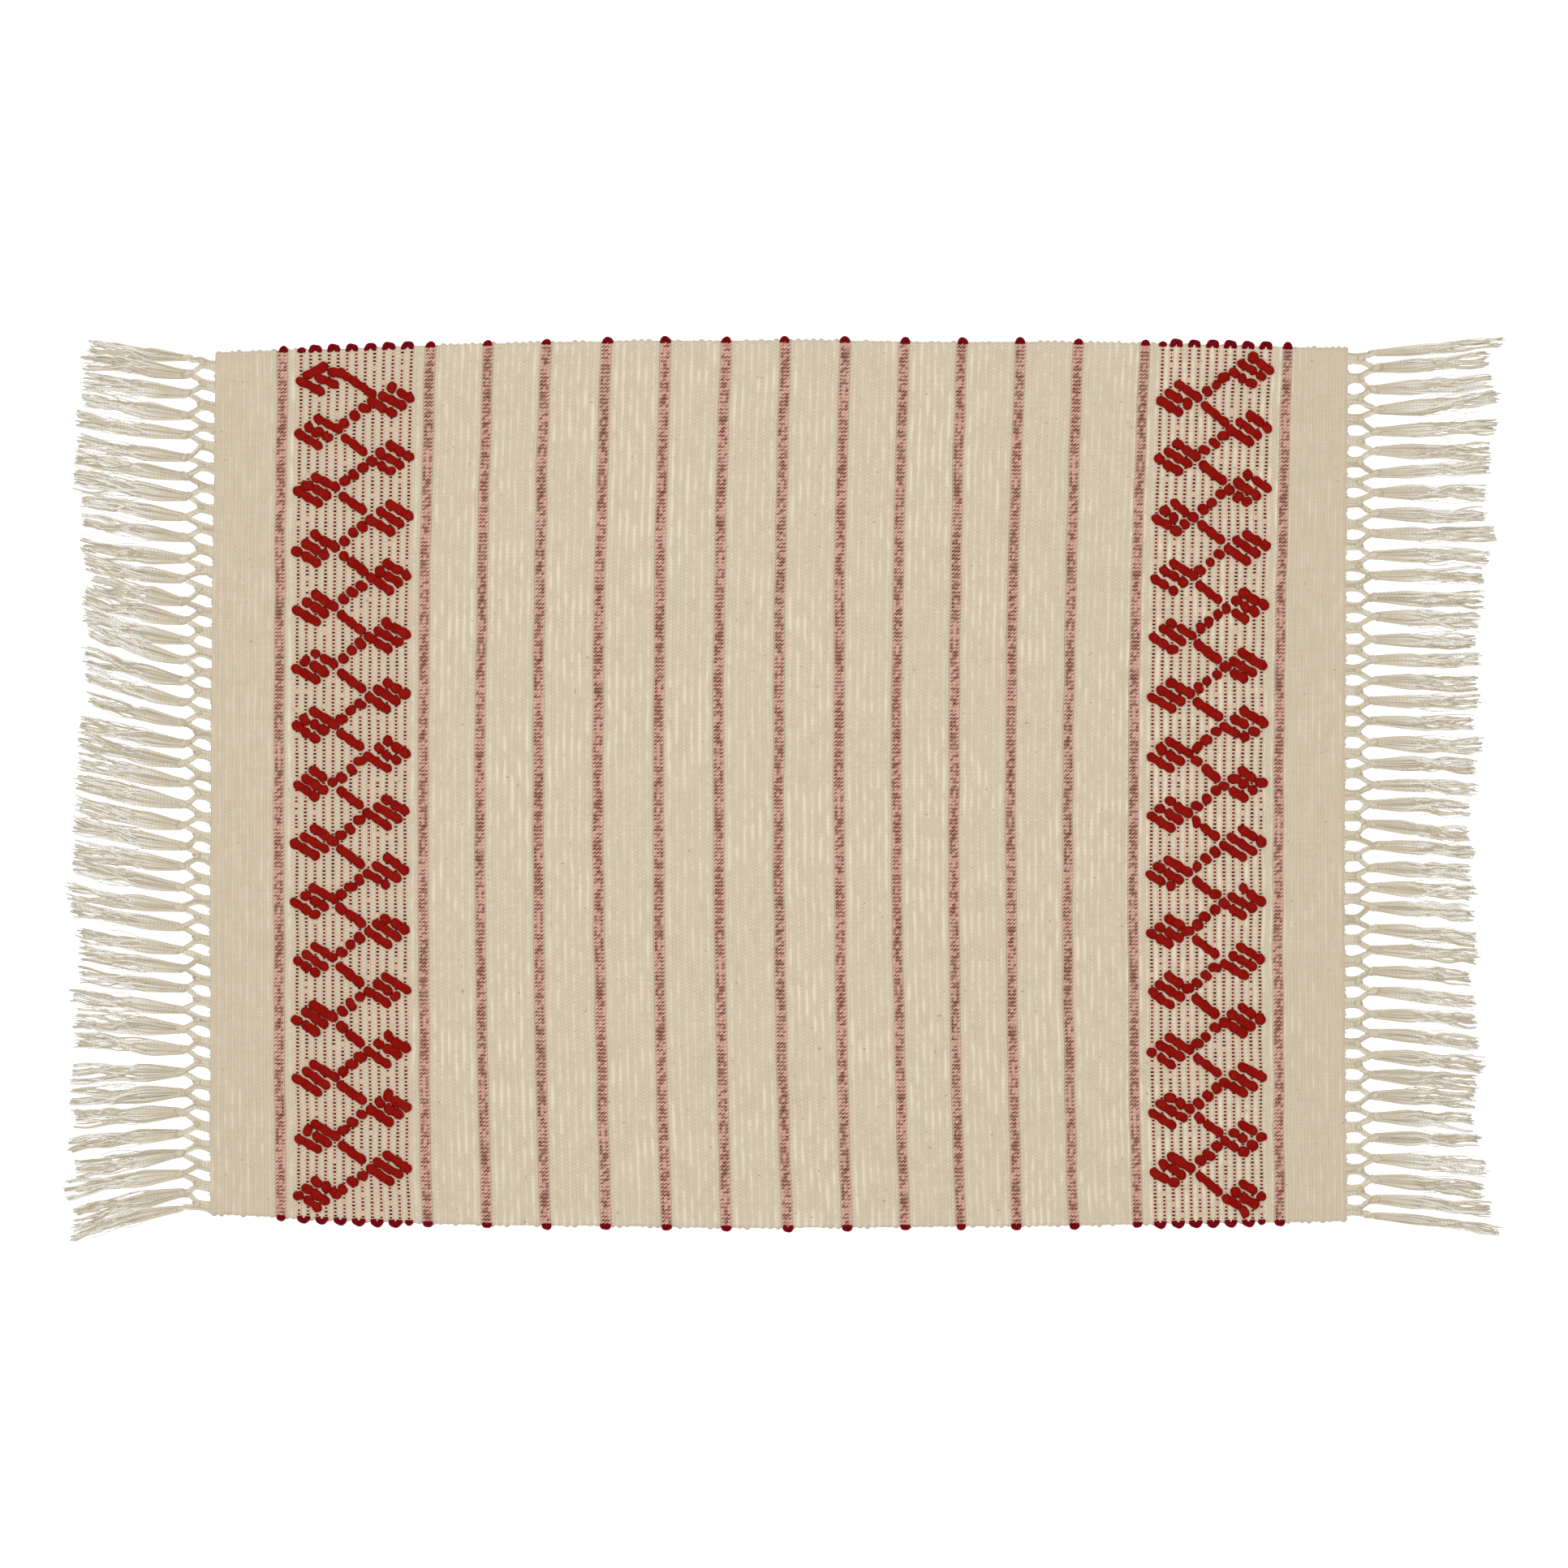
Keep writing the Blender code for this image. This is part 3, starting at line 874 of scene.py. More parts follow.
@dataclass(frozen=True)
class LineFinish(Finish):
    """One red pick between cream ones: dots of weft between the warps, dark with painted shade."""

    warp: Colour = (0.8, 0.8, 0.8)
    halo: Colour = (0.7, 0.5, 0.5)
    weft: Colour = (0.4, 0.1, 0.1)
    dot: Colour = (0.2, 0.05, 0.03)

    def make(self, effects: Effects) -> bpy.types.Material:
        """Builds the material.

        Args:
            effects: The shared effects.

        Returns:
            The material.
        """
        w, material, yarn, place, shader = self.start()
        weave = w.effect(effects.weave, Thread_Count=yarn, Slant=0.0, Edge=0.15)
        tone = w.effect(effects.yarn_tone, Thread_Count=yarn, Position=place)
        fibre = w.effect(effects.fibre, Position=place)
        across, row, _ = w.split(yarn)
        middle = w.math("SINE", w.math("MULTIPLY", across, math.pi))
        colour = w.mix(w.step(middle, 0.35, 0.95), self.warp, self.halo)
        aside = w.math("MULTIPLY", w.math("SUBTRACT", 1.0, middle), 2.3)
        ahead = w.math("SINE", w.math("MULTIPLY", row, math.pi))
        beyond = w.math("SUBTRACT", 1.0, w.math("ABSOLUTE", ahead))
        far = w.math("MULTIPLY_ADD", beyond, 0.55, aside)
        bold = w.step(weave.outputs["Own"], 0.45, 0.9)
        size = w.math("MULTIPLY_ADD", bold, 0.45, w.step(weave.outputs["Own"], 0.0, 0.12, 1.0))
        inside = w.step(w.math("SUBTRACT", size, far), -0.05, 0.3)
        red = w.math("MULTIPLY", inside, w.math("SUBTRACT", 1.0, weave.outputs["Warp Over"]))
        colour = w.mix(red, colour, self.weft)
        # Painted shade of the recessed weft darkens the dots, more on stretches chosen at random and
        # along streaks.
        deep = w.math("MULTIPLY_ADD", bold, 0.55, w.step(tone.outputs["Streak"], 0.1, 0.9, 0.45))
        colour = w.mix(w.math("MULTIPLY", w.step(red, 0.3, 0.9), deep), colour, self.dot)
        fuzz = w.math("MULTIPLY", fibre.outputs["Height"], 0.3)
        height = w.math("MULTIPLY_ADD", weave.outputs["Warp Over"], 0.7, fuzz)
        self.end(w, shader, colour, height, fibre.outputs["Tone"])
        return material


@dataclass(frozen=True)
class YarnFinish(Finish):
    """A loose yarn of twisted plies, seen from outside.

    The turns are for each millimetre. The groove colour is painted shade in the grooves between
    plies and among loose fibres, and also the tint of duller strands. With a strand tone, yarns differ
    from their neighbours: some are duller, and others take a painted highlight that grows between two
    places along them, in millimetres.
    """

    colour: Colour = (0.5, 0.1, 0.1)
    groove: Colour = (0.3, 0.05, 0.05)
    light: Colour = (0.6, 0.2, 0.2)
    plies: float = 3.0
    turns: float = 0.25
    ply_relief: float = 0.6
    ply_tone: float = 0.7
    fineness: float = 1500.0
    mottle: float = 0.5
    strand_tone: float = 0.0
    pale_from: float = 0.0
    pale_to: float = 0.0

    def make(self, effects: Effects) -> bpy.types.Material:
        """Builds the material.

        Args:
            effects: The shared effects.

        Returns:
            The material.
        """
        w, material, yarn, place, shader = self.start()
        ply = w.effect(effects.ply, Yarn_Place=yarn, Plies=self.plies, Turns=self.turns)
        fibre = w.effect(effects.fibre, Position=place, Fineness=self.fineness)
        patch = w.step(w.noise(place, 120.0, 3.0), 0.35, 0.7)
        colour = w.mix(w.math("MULTIPLY", patch, self.mottle), self.colour, self.light)
        if self.strand_tone:
            # Painted highlight: strands chosen at random grow paler, up to near white, between two
            # places along them. Other strands are duller at random, a real change of tone.
            out = w.step(ply.outputs["Along"], self.pale_from, self.pale_to)
            own = w.step(ply.outputs["Strand"], 0.5, 0.66, self.strand_tone)
            colour = w.mix(w.math("MULTIPLY", own, out), colour, self.light)
            dull = w.step(ply.outputs["Strand"], 0.24, 0.12, 0.6 * self.strand_tone)
            colour = w.mix(dull, colour, self.groove)
        # Painted shade in the grooves between the plies.
        colour = w.mix(w.math("MULTIPLY", ply.outputs["Groove"], self.ply_tone), colour, self.groove)
        # Painted shade in the low places among the loose fibres, where the bump is low too.
        shade = w.math("MULTIPLY", w.math("SUBTRACT", 1.0, fibre.outputs["Tone"]), 0.4)
        colour = w.mix(shade, colour, self.groove)
        fuzz = w.math("MULTIPLY", fibre.outputs["Height"], 0.5)
        height = w.math("MULTIPLY_ADD", ply.outputs["Ridge"], self.ply_relief, fuzz)
        self.end(w, shader, colour, height, fibre.outputs["Tone"])
        return material


@dataclass
class Finishes:
    """Every finish of the rug, built once."""

    effects: Effects
    ground: bpy.types.Material = field(init=False)
    hem: bpy.types.Material = field(init=False)
    stripe: bpy.types.Material = field(init=False)
    line: bpy.types.Material = field(init=False)
    brocade: bpy.types.Material = field(init=False)
    turn: bpy.types.Material = field(init=False)
    fringe: bpy.types.Material = field(init=False)
    warp: bpy.types.Material = field(init=False)

    def __post_init__(self) -> None:
        """Builds each material."""
        cream = dye(210, 195, 172)
        # Painted highlight on the proud ridges of the cream cloth. The same colour is also the real
        # paler yarn of its streaks, slubs and borders.
        pale = dye(234, 221, 198)
        # The hollow colours below are painted shade between the threads.
        self.ground = WovenFinish(
            "cream_weft", warp=cream, weft=dye(201, 185, 160), hollow=dye(170, 151, 128), pale=pale,
            ridge_tone=1.0, hollow_tone=0.36, slub_tone=0.35, spot=0.34,
        ).make(self.effects)
        self.hem = WovenFinish(
            "close_cream_weft", warp=dye(209, 194, 170), weft=dye(203, 187, 161),
            hollow=dye(172, 154, 130), pale=pale, ridge_tone=0.6, hollow_tone=0.5, slub_tone=0.25,
            spot=0.15,
        ).make(self.effects)
        self.stripe = WovenFinish(
            "red_and_cream_weft", warp=dye(222, 176, 156), weft=dye(132, 46, 38),
            hollow=dye(118, 52, 44), pale=dye(226, 196, 176), slant=1.0, edge=0.18,
            ridge_tone=0.0, hollow_tone=0.35, slub_tone=0.45, deep=dye(80, 12, 10), deep_tone=0.95,
            border_tone=0.7, veil=0.10, blot=0.3, patchy=0.52,
        ).make(self.effects)
        # The thin red weft's dark dot colour is painted shade of the recessed weft.
        self.line = LineFinish(
            "thin_red_weft", warp=cream, halo=dye(218, 178, 152), weft=dye(104, 26, 16),
            dot=dye(34, 4, 2), sheen=0.0,
        ).make(self.effects)
        # Each yarn's groove colour is painted shade in its ply grooves and among its loose fibres. On
        # the fringe, it also tints duller strands.
        self.brocade = YarnFinish(
            "thick_red_brocade", colour=dye(139, 14, 7), groove=dye(104, 6, 3),
            light=dye(154, 26, 16), bump=0.5, depth=0.4 * MM, sheen=0.0, shine=0.06,
            ply_relief=0.25, ply_tone=0.2, mottle=0.7,
        ).make(self.effects)
        self.turn = YarnFinish(
            "maroon_turns", colour=dye(118, 4, 16), groove=dye(84, 0, 8), light=dye(136, 12, 22),
            bump=0.6, depth=0.4 * MM, sheen=0.0, shine=0.06, ply_tone=0.4,
        ).make(self.effects)
        # The fringe's near-white colour is a painted highlight on strands chosen at random, growing
        # towards their tips. Its mottle is a real change of tone.
        self.fringe = YarnFinish(
            "fringe_cotton", colour=dye(221, 209, 184), groove=dye(180, 167, 142),
            light=dye(255, 255, 250), plies=2.0, turns=0.4, roughness=0.7, sheen=0.4,
            ply_relief=0.8, mottle=0.2, fineness=2200.0, strand_tone=1.0, pale_from=6.0,
            pale_to=34.0,
        ).make(self.effects)
        self.warp = YarnFinish(
            "warp_cotton", colour=dye(226, 215, 190), groove=dye(176, 162, 130),
            light=dye(244, 237, 218), plies=2.0, turns=0.5, mottle=0.4,
        ).make(self.effects)


@dataclass(frozen=True)
class Loom:
    """What the whole cloth shares: its threads, its faces and how it lies."""

    lie: Lie
    cloth_end: float
    selvedge: float
    top: float
    pick: float = 2.465 * MM
    warps: int = 476

    @property
    def warp_pitch(self) -> float:
        """From one warp thread to the next."""
        return 2 * self.selvedge / self.warps

    def warp_places(self) -> Array:
        """Each warp thread's place along Y, from the +Y selvedge down."""
        return self.selvedge - (np.arange(self.warps) + 0.5) * self.warp_pitch


@dataclass
class WovenBand:
    """One band of weft, woven round the warp: both faces, both selvedges and both sides.

    The float rise, valley and drops are how far the face lies under its highest crowns: at a pick
    under the warp, between picks, at every other pick, and at a sunk pick.
    """

    loom: Loom
    node: str
    edges: Array
    first_pick: int
    steps: int = 1
    float_rise: float = 0.16 * MM
    valley: float = 0.45 * MM
    odd_drop: float = 0.24 * MM
    sunk: tuple[int, ...] = ()
    sunk_drop: float = 0.55 * MM
    lump: float = 0.07 * MM
    lump_warps: int = 7
    scallop: float = 1.6 * MM
    own_count: bool = False
    count_shift: tuple[int, int] = (17, 499)
    rim: float = 0.55
    edge_inset: float = 0.55 * MM
    lip: float = 0.5 * MM
    end_round: float = 0.9 * MM
    end_drop: float = 1.1 * MM
    end_lift: float = 0.9 * MM

    def _samples(self) -> tuple[Array, Array, Array, Array]:
        """Where the band is read along X.

        Returns:
            Places, pick counts, how far each is up its pick's crown, and its pick's number.
        """
        inside = np.linspace(0, 1, 2 * self.steps + 1)[:-1]
        widths = np.diff(self.edges)
        places = np.concatenate([e + w * inside for e, w in zip(self.edges, widths)])
        places = np.append(places, self.edges[-1])
        picks = np.concatenate([j + inside for j in range(len(widths))] + [[len(widths)]])
        crown = np.sin(math.pi * (picks % 1.0))
        number = np.minimum(picks.astype(int), len(widths) - 1)
        return places, picks + self.first_pick, crown, number

    def _relief(self, crown: Array, number: Array, rows: Array) -> Array:
        """How far the face lies under its highest crowns.

        Args:
            crown: How far each sample is up its pick's crown.
            number: Each sample's pick in this band.
            rows: Warp counts of the rows.

        Returns:
            Depths, (samples, rows).
        """
        rng = np.random.default_rng(SEED + 31 + self.first_pick)
        over = np.where((number[:, None] + self.first_pick + rows[None]) % 2 == 0, 1.0, -1.0)
        odd = ((number + self.first_pick) % 2)[:, None]
        depth = self.valley * (1 - crown[:, None]) + self.odd_drop * odd
        depth = depth + self.float_rise * (1 - over * crown[:, None])
        lumps = rng.normal(0.0, 1.0, (number.max() + 1, self.loom.warps // self.lump_warps + 3))
        at = rows / self.lump_warps
        low = at.astype(int)
        share = at - low
        uneven = lumps[:, low] * (1 - share) + lumps[:, low + 1] * share
        depth = depth + self.lump * uneven[number] * crown[:, None]
        is_sunk = np.isin(number, self.sunk)[:, None]
        return depth + np.where(is_sunk, self.sunk_drop * crown[:, None], 0.0)

    def build(self, finish: bpy.types.Material) -> bpy.types.Object:
        """Makes the band.

        Args:
            finish: Its material.

        Returns:
            The band.
        """
        loom = self.loom
        places, picks, crown, number = self._samples()
        rows = np.arange(loom.warps)
        y_top = loom.warp_places()
        under = rows[::2][::-1]
        y_under = (y_top[0::2] + y_top[1::2])[::-1] / 2
        crown[[0, -1]] = self.rim
        top = loom.top - self._relief(crown, number, rows)
        low = self._relief(crown, number, under + 1)
        ends = np.minimum(places + loom.cloth_end, loom.cloth_end - places)
        rounding = 1.0 - ease(0.0, self.end_round, ends)
        top = top - rounding[:, None] * self.end_drop
        low = low + rounding[:, None] * self.end_lift
        plus, minus = self._selvedges(picks, top, low)
        ring = (
            (np.broadcast_to(y_top, top.shape), top, np.broadcast_to(rows + 0.5, top.shape)),
            minus,
            (np.broadcast_to(y_under, low.shape), low, np.broadcast_to(under + 1.0, low.shape)),
            tuple(part[:, ::-1] for part in plus),
        )
        y, z, v = (np.concatenate(parts, axis=1) for parts in zip(*ring))
        if self.own_count:
            step, limit = self.count_shift
            picks = picks - self.first_pick
            v = v + 2 * (step * self.first_pick % limit)
        x, y = loom.lie.place(np.broadcast_to(places[:, None], y.shape), y)
        maker = MeshMaker()
        numbers = maker.points(np.stack([x, y, np.maximum(z, 0.0)], axis=-1))
        self._skin(maker, numbers, picks, v)
        self._close(maker, numbers, picks, v)
        return maker.build(self.node, finish)

    def _selvedges(
        self, picks: Array, top: Array, low: Array
    ) -> tuple[tuple[Array, Array, Array], tuple[Array, Array, Array]]:
        """The two side edges, where the weft turns back in small scallops.

        Args:
            picks: Pick counts of the samples.
            top: Heights of the upper face, (samples, rows).
            low: Heights of the lower face, (samples, rows).

        Returns:
            For the +Y selvedge and then the -Y one, the places along Y, heights and warp counts of
            three points at each sample.
        """
        pairs = (picks // 2).astype(int)
        rng = np.random.default_rng(SEED + 57)
        swells = rng.uniform(0.1, 1.0, (2, int(pairs.max()) + 2))
        wave = np.abs(np.sin(math.pi * picks / 2))
        edges = []
        for swell, sign, near, far, v in (
            (swells[0], 1.0, top[:, 0], low[:, -1], -0.3),
            (swells[1], -1.0, top[:, -1], low[:, 0], self.loom.warps + 0.3),
        ):
            out = self.scallop * swell[pairs] * wave
            inner = -self.edge_inset + 0.35 * out
            y = sign * (self.loom.selvedge + np.stack([inner, out, inner], 1))
            z = np.stack([near - self.lip, (near + far) / 2, far + self.lip], 1)
            edges.append((y, z, np.full(y.shape, v)))
        return edges[0], edges[1]

    def _skin(self, maker: MeshMaker, numbers: Array, picks: Array, v: Array) -> None:
        """Faces round the band.

        Args:
            maker: Where they go.
            numbers: The points' numbers, (samples, ring).
            picks: Pick counts of the samples.
            v: Warp counts of the points.
        """
        after = np.roll(numbers, -1, axis=1)
        quads = np.stack([numbers[:-1], after[:-1], after[1:], numbers[1:]], axis=-1)
        v_after = np.roll(v, -1, axis=1)
        u = np.broadcast_to(picks[:, None], v.shape)
        corners = ((u[:-1], v[:-1]), (u[:-1], v_after[:-1]), (u[1:], v_after[1:]), (u[1:], v[1:]))
        yarn = np.stack([np.stack(c, axis=-1) for c in corners], axis=-2)
        maker.faces(quads.reshape(-1, 4), yarn.reshape(-1, 4, 2))

    def _close(self, maker: MeshMaker, numbers: Array, picks: Array, v: Array) -> None:
        """Flat faces that close the band's two sides, each row of the lower face to two above.

        Args:
            maker: Where they go.
            numbers: The points' numbers, (samples, ring).
            picks: Pick counts of the samples.
            v: Warp counts of the points.
        """
        count = self.loom.warps
        half = count // 2
        ring = np.arange(numbers.shape[1])
        top = ring[:count]
        left = ring[count : count + 3]
        under = ring[count + 3 : count + 3 + half][::-1]
        right = ring[count + 3 + half :]
        pairs = np.arange(half)
        threes = np.stack([top[2 * pairs], top[2 * pairs + 1], under[pairs]], axis=-1)
        fours = np.stack(
            [top[2 * pairs[:-1] + 1], top[2 * pairs[:-1] + 2], under[1:], under[:-1]], axis=-1
        )
        fives = np.array([[top[0], under[0], *right], [top[-1], *left, under[-1]]])
        for sample, order in ((-1, 1), (0, -1)):
            for patch in (threes, fours, fives):
                corners = patch[:, ::order]
                u = np.full(corners.shape, picks[sample], float)
                maker.faces(numbers[sample][corners], np.stack([u, v[sample][corners]], -1), False)


@dataclass
class Turns:
    """Yarn that shows at a selvedge where it turns back: short, fat arches over the edge.

    The inset is how far inside the selvedge an arch starts. It lies a little under the cloth's top,
    by the sink, and lower at its two ends and at its outermost place.
    """

    loom: Loom
    width: float = 4.6 * MM
    height: float = 3.0 * MM
    inset: float = 2.0 * MM
    sink: float = 0.35 * MM
    end_drop: float = 0.2 * MM
    outer_drop: float = 0.8 * MM
    square: float = 0.6
    rings: int = 16
    sides: int = 12

    def add(
        self, maker: MeshMaker, x_low: float, x_high: float, side: float, reach: float, seed: int
    ) -> None:
        """Adds one arch.

        Args:
            maker: Where it goes.
            x_low: Where the yarn leaves the cloth.
            x_high: Where it enters again.
            side: 1 at the +Y selvedge, and -1 at the -Y one.
            reach: How far its outside stands beyond the selvedge.
            seed: Varies its shape a little.
        """
        rng = np.random.default_rng(SEED + 900 + seed)
        angle = np.linspace(0, math.pi, self.rings)
        half = (x_high - x_low) / 2 * rng.uniform(0.92, 1.05)
        x = (x_low + x_high) / 2 - half * np.cos(angle)
        rise = (reach - self.width / 2 + self.inset) * rng.uniform(0.9, 1.06)
        skew = rng.uniform(-0.2, 0.2)
        arch = np.sin(angle)
        bend = arch**self.square * (1 + skew * np.cos(angle))
        y = self.loom.selvedge - self.inset + rise * bend
        over = self.loom.top - self.sink + rng.uniform(-0.15, 0.25) * MM
        z = over - self.end_drop * (1 - arch) ** 2 - self.outer_drop * arch**3
        x, y = self.loom.lie.place(x, side * y)
        line = np.stack([x, y, z], axis=-1)[None]
        fat = (0.8 + 0.2 * arch**self.square) * rng.uniform(0.92, 1.06)
        radii = np.stack([fat * self.width / 2, fat * self.height / 2], axis=-1)[None]
        maker.tubes(line, radii, self.sides, plies=3, ply_depth=0.08, ply_length=3.6 * MM)


@dataclass
class Brocade:
    """The raised vine of one end: thick soft yarn laid in stitches over the red lines.

    It has its flowers in turn at its outer and inner side, with a stem between. Eight rows of
    stitches lead from one outer flower to the next.
    """

    loom: Loom
    end: End
    rows: int = 8
    flower_pitch: float = 40.4 * MM
    margin: float = 17 * MM
    outer_flowers: int = 15
    outer_column: int = 6
    flower_column: int = 4
    reach: float = 3.0 * MM
    width: float = 7.0 * MM
    height: float = 3.2 * MM
    overhang: float = 3.7 * MM
    flatten: float = 0.76
    flower_joined: float = 0.62
    stem_steep: float = 0.95
    stem_joined: float = 0.82
    single_lean: tuple[float, float] = (-0.55, 0.55)
    stray: float = 0.45 * MM
    sway: float = 0.4 * MM
    end_share: float = 0.42
    end_shape: tuple[float, float] = (2.4, 0.42)
    pinch: float = 0.16
    lump: float = 0.035
    base: float = 4.6 * MM
    arch: float = 1.5 * MM
    sides: int = 14
    rings_per_stitch: int = 8

    def _grid(self) -> tuple[float, float, float]:
        """How the vine's stitches are spaced.

        Returns:
            The vine's middle along X, and its column and row pitches.
        """
        low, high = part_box(f"{self.end.label}_brocade_vine")
        column = ((high.x - low.x) / 2 - self.reach) / self.outer_column
        return self.end.turn * (low.x + high.x) / 2, column, self.flower_pitch / self.rows

    def _runs(self) -> list[Run]:
        """Every run of stitches.

        Columns count from the vine's middle towards the rug's, and rows from one selvedge down.

        Returns:
            The runs, from the first row on.
        """
        rng = np.random.default_rng(SEED + (11 if self.end is End.LEFT else 12))
        runs: list[Run] = []

        def stroke(column: float, row: float, length: int, steep: float, joined: float) -> None:
            """Adds a stroke, broken where the yarn dips between two stitches.

            Args:
                column: Its middle's column.
                row: Its middle's row.
                length: How many stitches it has.
                steep: How many rows it climbs for each column.
                joined: How likely two of its stitches are to run together.
            """
            half = (length - 1) / 2
            start = 0
            for i in range(1, length + 1):
                if i == length or rng.random() > joined:
                    first, last = start - half, i - 1 - half
                    ends = (column + first, row + steep * first, column + last, row + steep * last)
                    runs.append((*ends, i - start))
                    start = i

        step = self.rows // 2
        last_flower = 2 * self.outer_flowers - 2
        for k in range(last_flower + 1):
            outer = k % 2 == 0
            column = -self.flower_column if outer else self.flower_column
            if k == 0 and self.end is End.LEFT:
                runs += self._first_flower()
                continue
            for shift in (-1, 0, 1):
                stroke(column + shift, step * k - shift, 3, self.flatten, self.flower_joined)
            if k == last_flower:
                continue
            stem = step * k + step // 2
            if outer:
                stroke(0, stem, 3, self.stem_steep, self.stem_joined)
            else:
                for i in (-1, 0, 1):
                    stroke(-i, stem + i, 1, 1.0, 1.0)
        return runs

    @staticmethod
    def _first_flower() -> list[Run]:
        """The flower at the left band's start, which the weaver made as an open hook.

        Returns:
            Its runs of stitches.
        """
        return [
            (-5.3, 0.0, -3.7, -1.0, 2),
            (-6.0, 0.9, -4.0, 2.3, 2),
            (-3.8, 0.6, -2.6, 1.2, 2),
            (-2.6, -0.3, -1.8, -0.1, 2),
            (-1.1, 0.5, 1.6, 3.1, 4),
        ]

    def _yarn(
        self, start: Array, stop: Array, stitches: int, rng: np.random.Generator
    ) -> tuple[Array, Array]:
        """The yarn of one run of stitches: blunt at both ends, and pinched between stitches.

        Args:
            start: The first stitch's place.
            stop: The last stitch's place.
            stitches: How many there are.
            rng: Where its unevenness is drawn from.

        Returns:
            Its middle line and its radii, as one tube.
        """
        run = stop - start
        if stitches == 1:
            lean = rng.normal(*self.single_lean)
            run = np.array([math.cos(lean), math.sin(lean)])
        run = run / np.linalg.norm(run)
        stray = rng.normal(0, self.stray, (2, 2))
        start = start + stray[0] - run * self.overhang * rng.uniform(0.9, 1.15)
        stop = stop + stray[1] + run * self.overhang * rng.uniform(0.9, 1.15)
        length = np.linalg.norm(stop - start)
        rings = self.rings_per_stitch * stitches + 6
        even = np.linspace(0, 1, rings)
        t = 0.5 * (1 - np.cos(math.pi * even)) / 2 + 0.5 * even
        flat = start + (stop - start) * t[:, None]
        across = np.array([-run[1], run[0]])
        sway = rng.uniform(-self.sway, self.sway) * np.sin(math.pi * t)
        flat = flat + across * sway[:, None]
        from_end = np.minimum(t, 1 - t) * length / (self.width * self.end_share)
        bulge, blunt = self.end_shape
        ends = (1 - (1 - np.clip(from_end, 0.02, 1.0)) ** bulge) ** blunt
        between = ((np.cos(2 * math.pi * t * stitches) + 1) / 2) ** 2 * (stitches > 1)
        pinch = 1 - self.pinch * between
        fat = ends * pinch * rng.uniform(0.9, 1.05) * (0.95 if stitches == 1 else 0.96)
        lumps = rng.normal(0, self.lump, rings)
        fat = fat * (1 + np.convolve(lumps, [0.5, 1.0, 0.5], mode="same"))
        z = self.base + self.arch * ends**0.8 * (0.8 + 0.2 * pinch)
        x, y = flat[:, 0] * self.end.turn, flat[:, 1] * self.end.turn
        x, y = self.loom.lie.place(x, y)
        radii = np.stack([fat * self.width / 2, fat * self.height / 2], axis=-1)
        return np.stack([x, y, z], axis=-1)[None], radii[None]

    def build(self, finish: bpy.types.Material) -> bpy.types.Object:
        """Makes the vine.

        Args:
            finish: Its material.

        Returns:
            The vine.
        """
        middle, column_pitch, row_pitch = self._grid()
        rng = np.random.default_rng(SEED + (21 if self.end is End.LEFT else 22))
        maker = MeshMaker()
        first = self.loom.selvedge - self.margin
        for column, row, last_column, last_row, stitches in self._runs():
            start = np.array([middle + column * column_pitch, first - row * row_pitch])
            stop = np.array([middle + last_column * column_pitch, first - last_row * row_pitch])
            line, radii = self._yarn(start, stop, stitches, rng)
            maker.tubes(line, radii, self.sides, plies=3, ply_depth=0.06, ply_length=9 * MM)
        return maker.build(f"{self.end.label}_brocade_vine", finish)


